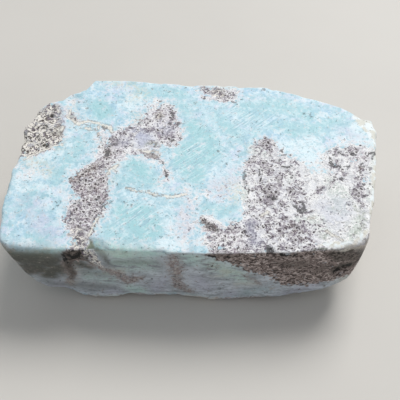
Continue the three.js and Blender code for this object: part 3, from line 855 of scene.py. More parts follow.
# The ground front's markings, with blots of (x, z, radius) in mm.
FRONT_MARKINGS = (
    Marking(Mark.MATRIX, 1.0, 1.5, (
        ((2.6, 22, 0.9), (6, 21, 2), (10, 20, 3.2), (14, 18.4, 4.6), (18, 17.2, 5.2), (22, 16, 6.2),
         (26, 14.8, 7.5)),
        ((26, 14.8, 7.5), (29, 16, 8.2), (33, 16.8, 7.9), (38, 15.6, 7.5), (42, 16, 7)),
        ((-31.4, 21.2, 1.8), (-30.6, 19.8, 2.4), (-29.5, 21, 2)),
    )),
    Marking(Mark.SPECKS, 0.5, 1.6, (
        ((4, 21, 1.4), (10, 19, 3), (20, 16, 6), (26, 15, 8), (34, 17, 6)), ((-31, 20.5, 3),),
    )),
    Marking(Mark.SPECKS, 0.9, 1.4, (
        ((21, 18.6, 1), (24, 17, 1)), ((26, 19, 1.2), (29, 17.5, 1)), ((8, 19, 0.8), (11, 17.4, 0.8)),
        ((15, 13.4, 0.9), (18, 12.6, 0.8)), ((22, 12, 0.8), (27, 9, 0.8)), ((-31, 20, 1.4),),
        ((3, 21, 0.6),),
    )),
    Marking(Mark.INK, 1.0, 0.4, (
        ((34.4, 11.2, 0.4), (36, 10.8, 0.4)), ((-32, 20.2, 0.5), (-30.8, 18.9, 0.7), (-29.6, 20, 0.5)),
        ((33.4, 20.6, 0.35), (37.4, 20.2, 0.3)), ((-32, 22, 0.5), (-29.6, 21.6, 0.5), (-28.6, 20.6, 0.3)),
        ((-33, 20.4, 0.4), (-32.8, 18, 0.4)), ((-6, 8.6, 0.25),), ((-5, 7.6, 0.25),),
        ((20, 21.6, 0.3), (23.6, 21.2, 0.4)), ((16.5, 22, 0.4), (17.1, 21, 0.4)),
        ((2.2, 21.4, 0.4), (4, 21, 0.3)), ((6.6, 20.8, 0.4),), ((9, 20.6, 0.3),),
    )),
    # Painted shadow: near black inside the pit on the right of the front.
    Marking(Mark.INK, 1.5, 0.6, (
        ((34.2, 12, 0.6), (35.4, 12.8, 1.2), (36.6, 13.1, 1.1), (37.8, 13.7, 0.8)),
    )),
    Marking(Mark.PITTED, 1.0, 1.0, (
        ((-32, 23.2, 1.4), (-29.6, 22.8, 1.4), (-27.2, 22, 1.6)),
        ((-27.4, 20.6, 1.4), (-26.2, 18.6, 1.2), (-25, 16.8, 0.8), (-23.8, 15.4, 0.4)),
    )),
    Marking(Mark.CREAM, 0.6, 0.5, (
        ((-6.4, 11.4, 0.5), (-5.8, 10.6, 0.4)), ((-7.4, 19, 0.2), (-8, 16, 0.25), (-6.6, 13, 0.2)),
        ((-5.6, 19, 0.15), (-6, 14.6, 0.2)), ((-31.4, 17, 0.12), (-33, 10, 0.16), (-33.5, 6, 0.12)),
        ((-9, 21, 0.15), (-9.4, 17, 0.15)), ((2, 13, 0.2), (4, 12.5, 0.3), (6, 13.6, 0.2)),
        ((8, 9, 0.2), (14.2, 9, 0.2)), ((-4, 6, 0.3), (-2, 5.2, 0.25)), ((32.6, 12.4, 0.3), (33, 11, 0.4)),
        ((-2, 3, 0.5), (-2.4, 1.6, 0.4)), ((-24, 16, 0.2), (-20.6, 13, 0.2)),
        ((-17, 14.6, 0.15), (-14.6, 15.6, 0.15)), ((-41, 10, 0.1), (-36, 16, 0.2)),
    )),
    # Painted light: cream brightening the shaded lip under the right of the front rim, over the stone's
    # cream.
    Marking(Mark.CREAM, 1.0, 1.0, (
        ((27, 22.4, 0.2), (30, 22, 0.6), (33, 21.7, 0.9), (36, 21.4, 1.2), (39, 21.2, 1.2), (43, 21, 1.1)),
    )),
    Marking(Mark.WARM, 0.8, 1.6, (
        ((3, 12.6, 1), (6, 13.4, 1)), ((9, 9.2, 0.8), (14, 9.2, 0.8)), ((33, 22.6, 1), (38, 22, 1)),
        ((34, 10, 1.2),), ((37, 7, 1.6), (40, 9, 1.6)), ((-24, 13, 2), (-20, 14, 1.5)),
        ((-31.5, 14, 1.5), (-33, 8, 1)), ((-48, 19, 0.5), (-45, 10, 0.4), (-43, 6, 0.3)),
        ((4, 16.4, 1.4), (9, 13, 1.4)), ((-41, 12, 1.4), (-37, 15, 1)),
    )),
    Marking(Mark.CREASE, 1.0, 1.2, (((34.6, 12.4, 0.6), (35.8, 13, 1), (37, 13.4, 0.6)),)),
    Marking(Mark.UMBER, 1.0, 1.2, (
        ((31.6, 20, 0.9), (33.6, 19.2, 1.7), (36.4, 18.6, 2.2), (39.4, 18, 2.2)),
        ((35.6, 13, 2.6), (38.6, 14, 1.4)), ((-31.6, 20.6, 2.2), (-29.2, 20.2, 2)),
        ((-32.2, 17.6, 1.2), (-32.4, 14, 0.8), (-32.8, 10, 0.5)), ((-28, 18.4, 0.7), (-25.6, 16.6, 0.3)),
    )),
    Marking(Mark.UMBER, 0.5, 1.6, (
        ((2.4, 21.6, 0.8), (6, 21, 0.9), (9, 20.6, 0.6)), ((20, 21.2, 0.7), (24, 21.2, 0.8)),
        ((19, 18, 1.5), (25, 17, 2.5)), ((29, 13.4, 1.6), (31, 15, 2)),
        ((-33.4, 15, 0.9), (-33.6, 11, 0.7)),
    )),
    Marking(Mark.BROWN, 0.75, 1.6, (
        ((-6.2, 20.6, 1.5), (-6, 17, 1.9), (-5.8, 12, 1.7), (-5, 7.4, 1.8), (-3, 4.6, 1.6)),
        ((-27, 17, 1.4), (-24, 14.8, 1.4), (-21, 12.4, 1.8), (-18.4, 9.8, 2.2), (-15.4, 10.4, 1.2)),
        ((19, 6.6, 0.8),), ((3, 17.6, 0.8),), ((12, 12.6, 0.7), (15, 9.4, 0.6)),
    )),
    Marking(Mark.BROWN, 0.8, 1.6, (((-32.4, 17, 1.6), (-33, 11.6, 1.1), (-33.4, 7, 0.8)),)),
    Marking(Mark.BROWN, 0.4, 2.0, (((-46.4, 15, 1.2), (-43.8, 12.5, 1.6), (-41, 12, 1)),)),
    Marking(Mark.OLIVE, 1.0, 3.6, (
        ((-48, 20, 3), (-44, 18, 4.4), (-38, 18.6, 4.6), (-36, 15, 4)), ((-43, 13, 3.4), (-38, 13, 3.4)),
        ((-35, 20, 2.4),), ((-30, 16.4, 1.6), (-27.6, 15, 1)),
    )),
    # Painted shade: a dark olive band just below the front rim's lip, at the left.
    Marking(Mark.OLIVE, 0.6, 1.0, (((-45, 21.6, 0.6), (-40, 21.9, 0.8), (-35, 22, 0.6)),)),
    # Painted shadow: dark olive down the notch below the rim.
    Marking(Mark.OLIVE, 0.8, 1.6, (
        ((-25.6, 22.6, 1.4), (-24, 20.6, 1.2), (-22.8, 18.2, 0.8), (-21, 16, 0.4)),
    )),
    Marking(Mark.OLIVE, 0.5, 3.4, (
        ((-22, 17, 2), (-16, 17, 2.6), (-10, 17.4, 2)),
        ((-40, 8, 3), (-35, 7, 3), (-30, 7, 3), (-27, 6, 3), (-22, 5, 2)), ((-29, 13, 3), (-24, 12, 2)),
    )),
    # Painted light: a pale green glow on the front's lip below the rim, partly the stone's green.
    Marking(Mark.GREEN, 1.0, 2.4, (
        ((-24, 22, 0.8), (-20, 21.6, 1.7), (-14, 21.8, 1.9), (-10.6, 22.6, 1)),
        ((-38, 22.6, 0.8), (-34, 22.6, 0.6)),
    )),
    Marking(Mark.GREEN, 0.5, 3.0, (
        ((-20, 17, 1.6), (-15, 16, 2), (-12, 17, 1.6)), ((-18, 6, 1), (-16, 4, 1.4)), ((-28, 11, 1),),
        ((3, 18, 1.6), (7, 14.6, 2), (11, 11.4, 1.4)), ((0, 20, 1.5), (-3, 20, 1.2)), ((-24, 10, 1.6),),
    )),
    Marking(Mark.TEAL, 0.8, 2.4, (
        ((12, 5, 1.2), (15, 6, 1.2), (18, 6, 1)), ((-16.5, 5, 1.2),), ((-2, 19, 1),), ((-26, 14, 1.5),),
    )),
    Marking(Mark.LILAC, 0.8, 2.4, (
        ((-22, 3, 1.6), (-24, 2.4, 1.4)), ((-36.5, 8, 1.2),), ((-39, 5, 1.4), (-36, 4, 1.6)),
        ((1, 8, 2.4), (0, 11, 1.5)), ((23, 3.4, 1), (30, 7.4, 1.2)), ((8, 4, 1.4),),
        ((-11, 6, 2), (-9, 10, 1.4)),
    )),
    Marking(Mark.CLOUD, 0.8, 1.2, (((-43.2, 9.6, 0.2), (-39, 13.4, 0.5), (-34.6, 17, 0.3)),)),
    Marking(Mark.CLOUD, 0.8, 2.6, (
        ((-28, 2.4, 1.4), (-22, 1.4, 1.6)), ((-13, 3, 1.6), (-9, 4, 1.2)), ((2, 3, 2), (5, 1, 1.4)),
        ((25, 4.4, 1.2), (32, 8.6, 1.2)), ((0, 8, 2), (2, 5, 2)), ((14, 2, 2), (20, 3, 1.6)),
    )),
)


@dataclass(frozen=True)
class Markings:
    """Every marking of the stone, and how each runs on below the face that it was drawn on.

    Spacings, warps, offsets, widths and heights are in mm. Blends between the faces, and the foot of
    the front, are parts of a point's way out of the block's core, which has a length of 1.
    """

    warps: tuple[tuple[float, float], ...] = ((4.0, 1.5), (1.5, 0.6))
    warp_offset: float = 131.7
    deep_warp_spacing: float = 17.0
    deep_warp_from: float = 1.0
    deep_warp: float = 26.0
    hidden_spacing: float = 11.0
    hidden_offset: float = 57.0
    hidden_level: float = 0.56
    hidden_fade: float = 0.14
    hidden_below: tuple[float, float] = (1.0, 6.0)
    hidden_specks: float = 0.5
    rim: Rim = Rim()
    rim_width: float = 0.7
    rim_heights: tuple[float, float] = (3.0, 6.0)
    soft_rim_heights: tuple[float, float] = (17.0, 19.0)
    crisp_blend: float = 0.015
    soft_blend: float = 0.42
    top_blend: float = 0.03
    front_foot: tuple[float, float] = (-0.75, -0.55)

    @staticmethod
    def from_edge(facing: np.ndarray) -> np.ndarray:
        """Distance in mm to the block's nearest edge, from how far a way out of the core leans."""
        lean = np.sort(np.abs(facing), axis=1)
        return Form.core_depth * (1 - lean[:, 1] / lean[:, 2])

    def warped(self, point: np.ndarray, depth: np.ndarray) -> np.ndarray:
        """Places moved sideways by smooth noise, more so the deeper below the top they lie.

        Args:
            point: Points of the stone in mm.
            depth: How far below the sawn top's rim each one counts as, in mm.

        Returns:
            The moved points.
        """
        moved = point.copy()
        for axis in range(3):
            place = point + self.warp_offset * (axis + 1)
            for spacing, by in self.warps:
                moved[:, axis] += by * (noise(place, spacing) - 0.5)
            deep = smoothstep(depth, self.deep_warp_from, Form.thickness) * self.deep_warp
            moved[:, axis] += deep * (noise(place, self.deep_warp_spacing) - 0.5)
        return moved

    @staticmethod
    def strength(markings: Sequence[Marking], mark: Mark, x: np.ndarray, y: np.ndarray) -> np.ndarray:
        """How strong one kind of marking is.

        Args:
            markings: The markings of one face.
            mark: The kind.
            x: Places along the face, in mm.
            y: Places across it, in mm.

        Returns:
            The greatest strength at each place, from 0 to 1.
        """
        strength = np.zeros(len(x))
        for marking in markings:
            if marking.mark is mark:
                strength = np.maximum(strength, marking.at(x, y))
        return strength

    def fields(self, point: np.ndarray, facing: np.ndarray) -> dict[str, np.ndarray]:
        """The strength of every kind of marking at every point, and how each point's face was made.

        Args:
            point: Points of the stone in mm.
            facing: The way each one faces on the block.

        Returns:
            A field from 0 to 1 for each kind, with "front" for the ground front, "broken" for the
            broken sides and the underside, and "rim" for the worn edge of the sawn top.
        """
        blend = self.crisp_blend + (self.soft_blend - self.crisp_blend) * self.rim.softness(point)
        forward = -facing[:, 1] - np.maximum(np.abs(facing[:, 0]), facing[:, 2])
        front = smoothstep(forward / blend, -1.0, 1.0) * smoothstep(facing[:, 2], *self.front_foot)
        upward = facing[:, 2] - np.abs(facing[:, :2]).max(1)
        broken = np.clip(1 - smoothstep(upward, -self.top_blend, self.top_blend) - front, 0.0, 1.0)
        below = Form.thickness - point[:, 2]
        x, y, z = self.warped(point, below * broken).T
        fields = {"front": front, "broken": broken}
        for mark in Mark:
            top = self.strength(TOP_MARKINGS, mark, x, y)
            fields[mark.value] = top + (self.strength(FRONT_MARKINGS, mark, x, z) - top) * front
        crust = noise(point + self.hidden_offset, self.hidden_spacing)
        crust = smoothstep(crust, self.hidden_level, self.hidden_level + self.hidden_fade)
        crust = broken * smoothstep(below, *self.hidden_below) * crust
        fields["matrix"] = np.maximum(fields["matrix"], crust)
        fields["specks"] = np.maximum(fields["specks"], crust * self.hidden_specks)
        rim = 1 - smoothstep(self.from_edge(facing), 0.0, self.rim_width)
        rim *= smoothstep(point[:, 2], *self.rim_heights)
        rim *= 1 - self.rim.softness(point) * smoothstep(point[:, 2], *self.soft_rim_heights)
        fields["rim"] = rim
        return fields


# ---------------------------------------------------------------- the stone's surface


@dataclass
class LarimarChunk:
    """The whole stone as one closed surface, 101 mm long, with its fields and its material.

    Cells are numbers along X, Y and Z, and crowding draws them towards the edges: both are given for
    the finished surface and for its plain solid.
    """

    node: str = "larimar_chunk"
    name: str = "larimar_chunk_surface"
    cells: tuple[int, int, int] = (220, 136, 50)
    solid_cells: tuple[int, int, int] = (46, 28, 13)
    crowding: float = 0.9
    solid_crowding: float = 1.15
    form: Form = Form()
    grain: Grain = Grain()
    markings: Markings = Markings()

    @staticmethod
    def block(cells: tuple[int, int, int]) -> tuple[np.ndarray, np.ndarray]:
        """A box's surface as a lattice of whole numbers, six grids joined along their shared edges.

        Args:
            cells: Cells along X, Y and Z.

        Returns:
            Lattice corners from 0 up to the cells, one row each, and the quads as rows of four of
            their numbers, turned so that they face outwards.
        """
        rows, quads = [], []
        start = 0
        for axis in range(3):
            u, v = (axis + 1) % 3, (axis + 2) % 3
            i, j = np.meshgrid(np.arange(cells[u] + 1), np.arange(cells[v] + 1), indexing="ij")
            number = np.arange(i.size).reshape(i.shape)
            corners = (number[:-1, :-1], number[1:, :-1], number[1:, 1:], number[:-1, 1:])
            quad = np.stack(corners, -1).reshape(-1, 4)
            for side, turned in ((cells[axis], quad), (0, quad[:, ::-1])):
                grid = np.zeros((i.size, 3), dtype=np.int64)
                grid[:, u], grid[:, v], grid[:, axis] = i.ravel(), j.ravel(), side
                rows.append(grid)
                quads.append(turned + start)
                start += i.size
        corners, index = np.unique(np.vstack(rows), axis=0, return_inverse=True)
        return corners, index.ravel()[np.vstack(quads)]

    def carved(self, corners: np.ndarray, cells: tuple[int, int, int], crowding: float,
               fine: bool) -> tuple[np.ndarray, np.ndarray]:
        """Where lattice corners lie on the stone.

        A corner's share s from -1 to 1 along each axis is crowded towards the edges as
        sin(c s) / sin(c). From there its way to the core is shortened: by the breaks, by the relief,
        by the notch, and, on the finished surface, by the grain.

        Args:
            corners: Lattice corners, one row each.
            cells: Cells along X, Y and Z.
            crowding: c, in radians.
            fine: Whether the grain is carved too.

        Returns:
            Points of the stone in mm, and the way each one faces on the block.
        """
        form = self.form
        share = np.sin((2.0 * corners / np.array(cells) - 1.0) * crowding) / math.sin(crowding)
        surface = share * form.half()
        top_rounding = self.grain.rim.rounding(surface) if fine else form.top_rounding
        rounding = form.foot_rounding + (share[:, 2] + 1) / 2 * (top_rounding - form.foot_rounding)
        root, facing, reach = form.ways_out(surface, rounding)

        def place() -> np.ndarray:
            """Where the points lie at the present reach."""
            return form.formed(root + facing * reach[:, None])

        for _ in range(form.carving_rounds):
            for cut in form.breaks:
                normal = np.array(cut.facing) / np.linalg.norm(cut.facing)
                proud = (place() - np.array(cut.at)) @ normal
                reach = reach - np.maximum(0, proud) / np.maximum(form.least_slant, facing @ normal)
        point = place()
        reach = reach - form.side_relief(point, facing) - form.pit_depth(point)
        reach = reach - form.underside_hollow(point, facing)
        for _ in range(form.carving_rounds):
            proud = form.proud_of_notch(place())
            reach = reach - np.maximum(0, proud) / np.maximum(form.least_slant, -facing[:, 1])
        if fine:
            point = place()
            reach = reach - self.grain.depth(point, facing, self.markings.fields(point, facing))
        return place(), facing

    def shift(self) -> np.ndarray:
        """From the form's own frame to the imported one: where its solid's box went when it was packed.

        Returns:
            The shift in mm.
        """
        corners, _ = self.block(self.solid_cells)
        plain, _ = self.carved(corners, self.solid_cells, self.solid_crowding, False)
        return np.array(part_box(self.node)[0]) / MM - plain.min(0)

    def build(self) -> bpy.types.Object:
        """Makes the mesh, with its fields as attributes, and hangs it on the frame.

        Returns:
            The stone's object.
        """
        corners, quads = self.block(self.cells)
        point, facing = self.carved(corners, self.cells, self.crowding, True)
        mesh = bpy.data.meshes.new(self.name)
        mesh.from_pydata(((point + self.shift()) * MM).tolist(), [], quads.tolist())
        mesh.polygons.foreach_set("use_smooth", np.ones(len(quads), dtype=bool))
        for field, value in self.markings.fields(point, facing).items():
            attribute = mesh.attributes.new(field, "FLOAT", "POINT")
            attribute.data.foreach_set("value", value.astype(np.float32))
        mesh.update()
        mesh.validate()
        stone = bpy.data.objects.new(self.name, mesh)
        bpy.context.scene.collection.objects.link(stone)
        stone.data.materials.append(Larimar().material())
        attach(stone, "root")
        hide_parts(self.node)
        LOG.info("%s: %d vertices, %d quads", self.name, len(point), len(quads))
        return stone


# ---------------------------------------------------------------- shader expressions


def tint(red: int, green: int, blue: int) -> Tint:
    """A colour as it looks on the screen, turned into the linear colour that a shader takes.

    Args:
        red: Red from 0 to 255.
        green: Green from 0 to 255.
        blue: Blue from 0 to 255.

    Returns:
        The linear colour by the sRGB curve, and an alpha of 1.
    """
    channels = [channel / FULL_CHANNEL for channel in (red, green, blue)]
    linear = [c / SRGB_SLOPE if c <= SRGB_KNEE else ((c + SRGB_OFFSET) / (1 + SRGB_OFFSET)) ** SRGB_POWER
              for c in channels]
    return linear[0], linear[1], linear[2], 1.0


class Wire:
    """A number socket. Python's operators on it add Math nodes to its tree."""

    def __init__(self, paint: "Paint", socket: bpy.types.NodeSocket) -> None:
        """Keeps the tree and the socket."""
        self.paint = paint
        self.socket = socket

    def _math(self, operation: str, *terms: "Wire | float") -> "Wire":
        """A Math node on the terms."""
        node = self.paint.node("ShaderNodeMath", {"operation": operation}, dict(enumerate(terms)))
        return Wire(self.paint, node.outputs[0])

    def __add__(self, other: "Wire | float") -> "Wire":
        """The sum."""
        return self._math("ADD", self, other)

    __radd__ = __add__

    def __sub__(self, other: "Wire | float") -> "Wire":
        """The difference."""
        return self._math("SUBTRACT", self, other)

    def __rsub__(self, other: "Wire | float") -> "Wire":
        """The difference, with this one taken away."""
        return self._math("SUBTRACT", other, self)

    def __mul__(self, other: "Wire | float") -> "Wire":
        """The product."""
        return self._math("MULTIPLY", self, other)

    __rmul__ = __mul__

    def size(self) -> "Wire":
        """Its size, without its sign."""
        return self._math("ABSOLUTE", self)

    def step(self, low: float, high: float) -> "Wire":
        """A smooth rise from 0 to 1, or a fall where low is above high.

        Args:
            low: The value at which it is 0.
            high: The value at which it is 1.

        Returns:
            The step.
        """
        inputs = {"Value": self, "From Min": low, "From Max": high}
        node = self.paint.node("ShaderNodeMapRange", {"interpolation_type": "SMOOTHSTEP"}, inputs)
        return Wire(self.paint, node.outputs["Result"])


class Paint:
    """A material's node tree, emptied and ready for expressions."""

    def __init__(self, name: str) -> None:
        """Makes the material.

        Args:
            name: The material's name.
        """
        self.made = bpy.data.materials.new(name)
        self.made.use_nodes = True
        self.tree = self.made.node_tree
        self.tree.nodes.clear()

    def node(self, kind: str, settings: dict[str, Any] | None = None,
             inputs: dict[Any, Any] | None = None) -> bpy.types.Node:
        """Adds a node.

        Args:
            kind: The node's type.
            settings: Properties, set first.
            inputs: Values, sockets or wires for its input sockets, by name or number.

        Returns:
            The node.
        """
        node = self.tree.nodes.new(kind)
        for setting, value in (settings or {}).items():
            setattr(node, setting, value)
        for key, value in (inputs or {}).items():
            source = value.socket if isinstance(value, Wire) else value
            if isinstance(source, bpy.types.NodeSocket):
                self.tree.links.new(source, node.inputs[key])
            else:
                node.inputs[key].default_value = source
        return node

    def field(self, name: str) -> Wire:
        """A field of the mesh, by its attribute's name."""
        return Wire(self, self.node("ShaderNodeAttribute", {"attribute_name": name}).outputs["Fac"])

    def ragged(self, name: str, noise: Wire, by: float, low: float, high: float) -> Wire:
        """A field's share, its edge made ragged by noise.

        Args:
            name: The field.
            noise: The noise, from 0 to 1.
            by: How far the noise moves the field for a change of 1.
            low: The moved field at which the share is 0.
            high: The moved field at which the share is 1.

        Returns:
            The share.
        """
        return (self.field(name) + (noise - 0.5) * by).step(low, high)

    def place(self, turn: float = 0.0, stretch: Triple = (1.0, 1.0, 1.0)) -> Any:
        """Object coordinates, turned about Z and then multiplied axis by axis.

        Args:
            turn: Angle in degrees by which the pattern's own X axis is turned from the object's.
            stretch: Factors along the turned axes.

        Returns:
            A vector socket.
        """
        at = self.node("ShaderNodeTexCoord").outputs["Object"]
        if turn:
            inputs = {"Vector": at, "Angle": -math.radians(turn)}
            at = self.node("ShaderNodeVectorRotate", {"rotation_type": "Z_AXIS"}, inputs).outputs[0]
        if stretch != (1.0, 1.0, 1.0):
            inputs = {0: at, 1: stretch}
            at = self.node("ShaderNodeVectorMath", {"operation": "MULTIPLY"}, inputs).outputs[0]
        return at

    def noise(self, at: Any, size: float, detail: float = 3.0, rough: float = 0.55,
              bend: float = 0.0) -> Wire:
        """Fractal noise, mostly from 0.3 to 0.7.

        Args:
            at: Vector socket to read it at.
            size: Size of its largest lumps in mm.
            detail: Number of finer octaves.
            rough: Strength of each octave, as a share of the one before it.
            bend: How far it is warped by itself.

        Returns:
            The noise.
        """
        inputs = {"Vector": at, "Scale": 1.0 / (size * MM), "Detail": detail, "Roughness": rough,
                  "Distortion": bend}
        return Wire(self, self.node("ShaderNodeTexNoise", {}, inputs).outputs[0])

    def cells(self, at: Any, size: float) -> tuple[Wire, Wire]:
        """Cells round scattered points.

        Args:
            at: Vector socket to read them at.
            size: Rough distance between the points in mm.

        Returns:
            The distance to the nearest point, as a share of the size, and a chance from 0 to 1 for
            each cell.
        """
        node = self.node("ShaderNodeTexVoronoi", {}, {"Vector": at, "Scale": 1.0 / (size * MM)})
        return Wire(self, node.outputs["Distance"]), Wire(self, node.outputs["Color"])

    def bent(self, at: Any, size: float, by: float) -> Any:
        """A place moved by noise.

        Args:
            at: Vector socket.
            size: Size of the noise's lumps in mm.
            by: How far the noise moves it for a change of 1, in mm.

        Returns:
            A vector socket.
        """
        lumps = self.node("ShaderNodeTexNoise", {}, {"Vector": at, "Scale": 1.0 / (size * MM)})
        inputs = {0: lumps.outputs["Color"], 1: (0.5, 0.5, 0.5)}
        half = self.node("ShaderNodeVectorMath", {"operation": "SUBTRACT"}, inputs)
        inputs = {0: half.outputs[0], 1: (by * MM,) * 3, 2: at}
        return self.node("ShaderNodeVectorMath", {"operation": "MULTIPLY_ADD"}, inputs).outputs[0]

    def mix(self, below: Any, above: Any, share: Wire | float) -> Any:
        """A colour mixed from two.

        Args:
            below: Colour or colour socket at a share of 0.
            above: Colour or colour socket at a share of 1.
            share: The share.

        Returns:
            A colour socket.
        """
        node = self.node("ShaderNodeMix", {"data_type": "RGBA"}, {"Factor": share, 6: below, 7: above})
        return node.outputs[2]

    def over(self, base: Any, *coats: tuple[Any, Any]) -> Any:
        """Coats laid over a base, one after the other.

        Args:
            base: Colour or colour socket to begin with.
            coats: A colour or colour socket, and its share, for each coat.

        Returns:
            A colour socket.
        """
        for colour, share in coats:
            base = self.mix(base, colour, share)
        return base


# ---------------------------------------------------------------- finishes


@dataclass(frozen=True)
class Noises:
    """The patterns that the finishes share: noise of several sizes, and cells with a chance each."""

    wide: Wire
    mid: Wire
    fine: Wire
    grain: Wire
    fleck: Wire
    cell: Wire
    chance: Wire

    @classmethod
    def on(cls, paint: Paint) -> "Noises":
        """Adds them to a material.

        Args:
            paint: The material's tree.

        Returns:
            The patterns.
        """
        at = paint.place()
        cell, chance = paint.cells(paint.bent(at, 0.8, 1.5), 1.25)
        return cls(
            wide=paint.noise(at, 6.5, 2.0, bend=0.4),
            mid=paint.noise(at, 2.4, 3.0, 0.6, 0.4),
            fine=paint.noise(at, 0.95, 3.0, 0.6),
            grain=paint.noise(at, 0.55, 2.0),
            fleck=paint.noise(at, 0.8, 2.0, 0.7, 0.8),
            cell=cell,
            chance=chance,
        )


@dataclass(frozen=True)
class SawnBlue:
    """Blue pectolite, sawn: teal where it is smooth, elsewhere mottled and webbed with white."""

    pale: Tint = tint(188, 219, 231)
    frost: Tint = tint(224, 241, 248)
    deep: Tint = tint(158, 196, 209)
    teal: Tint = tint(161, 208, 215)
    sky: Tint = tint(166, 202, 232)
    lilac: Tint = tint(203, 213, 236)
    green: Tint = tint(188, 221, 208)

    def colour(self, paint: Paint, noises: Noises) -> Any:
        """The blue stone's colour.

        Args:
            paint: The material's tree.
            noises: The patterns that the finishes share.

        Returns:
            A colour socket.
        """
        wide, mid, fine = noises.wide, noises.mid, noises.fine
        plain = 1.0 - paint.field("teal") * 0.6
        mottle = paint.noise(paint.place(7.0, (1.0, 0.8, 1.0)), 1.7, 3.0, 0.55, 0.6)
        blue = paint.field("sky") + wide * 2.2 - mid * 1.6
        clouded = mid * 0.5 + wide * 0.5 + paint.field("cloud") * 0.2 - paint.field("teal") * 0.1
        base = paint.over(
            self.deep,
            (self.pale, mid.step(0.3, 0.5)),
            (self.sky, blue.step(0.4, 1.1) * 0.5),
            (self.lilac, (mid - wide).step(0.06, 0.16) * plain * 0.7),
            (self.teal, paint.ragged("teal", mid, 1.1, 0.05, 0.85) * 0.95),
            # Partly the stone's green, partly painted light: a pale green glow along the front rim.
            (self.green, paint.field("green") * 0.8),
            (self.frost, clouded.step(0.51, 0.66) * 0.8),
            (self.deep, mottle.step(0.5, 0.34) * (plain * 0.35 + 0.15)),
            (self.frost, mottle.step(0.5, 0.66) * (plain * 0.5 + 0.05)),
            (self.deep, fine.step(0.45, 0.34) * plain * 0.65),
            (self.frost, fine.step(0.55, 0.66) * plain * 0.65),
        )
        return self.scratched(paint, base)

    def scratched(self, paint: Paint, base: Any) -> Any:
        """Fine saw scratches, light and dark, slanting across the sawn face.

        Args:
            paint: The material's tree.
            base: The colour that they are laid over.

        Returns:
            A colour socket.
        """
        slant = paint.place(42.0, (0.09, 1.0, 0.3))
        patchy = (paint.field("saw") + 0.12) * paint.noise(paint.place(), 4.0, 1.0).step(0.36, 0.56)
        return paint.over(
            base,
            (self.frost, paint.noise(slant, 0.4, 2.0).step(0.5, 0.68) * patchy * 0.8),
            (self.deep, paint.noise(slant, 0.5, 1.0).step(0.49, 0.34) * patchy),
        )


@dataclass(frozen=True)
class SpeckledStone:
    """The speckled stone of the veins: white ground and grey-mauve clumps, both flecked, and white curls."""

    chalk: Tint = tint(226, 228, 232)
    pearl: Tint = tint(200, 202, 206)
    pink: Tint = tint(204, 190, 194)
    sage: Tint = tint(194, 206, 196)
    dusk: Tint = tint(171, 167, 184)
    mauve: Tint = tint(128, 119, 133)
    brown: Tint = tint(112, 97, 96)
    white: Tint = tint(246, 246, 246)
    speck: Tint = tint(70, 62, 66)
    soft_speck: Tint = tint(140, 136, 144)
    gap: Tint = tint(104, 97, 92)
    hole: Tint = tint(52, 49, 46)
    shell: Tint = tint(240, 236, 228)

    def colour(self, paint: Paint, noises: Noises) -> Any:
        """The speckled stone's colour.

        Args:
            paint: The material's tree.
            noises: The patterns that the finishes share.

        Returns:
            A colour socket.
        """
        at, specks = paint.place(), paint.field("specks")
        clump = (paint.noise(at, 1.9, 3.0, 0.65, 0.8) + specks * 0.32).step(0.6, 0.65)
        curls = (paint.noise(at, 1.2, 2.0, 0.6, 0.9) - 0.5).size()
        ringed = (noises.chance + specks * 0.4).step(0.56, 0.66)
        ring = noises.cell.step(0.24, 0.36) * noises.cell.step(0.6, 0.44)
        return paint.over(
            self.ground(paint, noises),
            (self.clumped(paint, noises), clump),
            (self.white, curls.step(0.035, 0.01) * (0.85 - specks * 0.5)),
            (self.white, ring * ringed * (0.8 - specks * 0.5)),
            (self.speck, noises.cell.step(0.36, 0.22) * ringed * (specks * 0.6 + 0.5)),
            (self.pitted(paint, noises), self.is_pitted(paint, noises)),
        )

    def ground(self, paint: Paint, noises: Noises) -> Any:
        """The pale ground between the clumps, tinted here and there and finely flecked.

        Args:
            paint: The material's tree.
            noises: The patterns that the finishes share.

        Returns:
            A colour socket.
        """
        specks = paint.field("specks")
        return paint.over(
            self.pearl,
            (self.chalk, noises.mid.step(0.4, 0.56)),
            (self.pink, paint.field("pink") * noises.fine.step(0.4, 0.56) * 0.7),
            (self.sage, paint.ragged("warm", noises.mid, 1.5, 0.2, 0.9) * 0.7),
            (self.dusk, specks * noises.fine.step(0.36, 0.5)),
            (self.soft_speck, noises.fleck.step(0.45, 0.38) * (specks + 0.15)),
            (self.white, noises.fleck.step(0.52, 0.59) * (0.85 - specks * 0.3)),
        )

    def clumped(self, paint: Paint, noises: Noises) -> Any:
        """The grey-mauve or brown clumps, flecked dark and white.

        Args:
            paint: The material's tree.
            noises: The patterns that the finishes share.

        Returns:
            A colour socket.
        """
        return paint.over(
            self.mauve,
            (self.brown, paint.ragged("brown", noises.fine, 1.6, 0.15, 0.75)),
            (self.pink, paint.field("pink") * noises.mid.step(0.46, 0.6) * 0.4),
            (self.speck, noises.fleck.step(0.5, 0.42) * 0.85),
            (self.white, noises.fleck.step(0.56, 0.62) * 0.75),
        )

    @staticmethod
    def is_pitted(paint: Paint, noises: Noises) -> Wire:
        """Where the stone is coarse."""
        return paint.ragged("pitted", noises.fine, 1.4, 0.2, 0.7)

    def pitted(self, paint: Paint, noises: Noises) -> Any:
        """Coarse stone: thick pale curls round dark gaps and holes.

        Args:
            paint: The material's tree.
            noises: The patterns that the finishes share.

        Returns:
            A colour socket.
        """
        curls = (paint.noise(paint.place(), 1.5, 2.0, 0.55, 0.7) - 0.5).size()
        return paint.over(
            self.gap,
            (self.hole, noises.grain.step(0.5, 0.62)),
            (self.mauve, noises.fine.step(0.46, 0.58) * 0.85),
            (self.pearl, noises.mid.step(0.5, 0.62) * 0.7),
            (self.shell, curls.step(0.075, 0.03) * 0.95),
        )


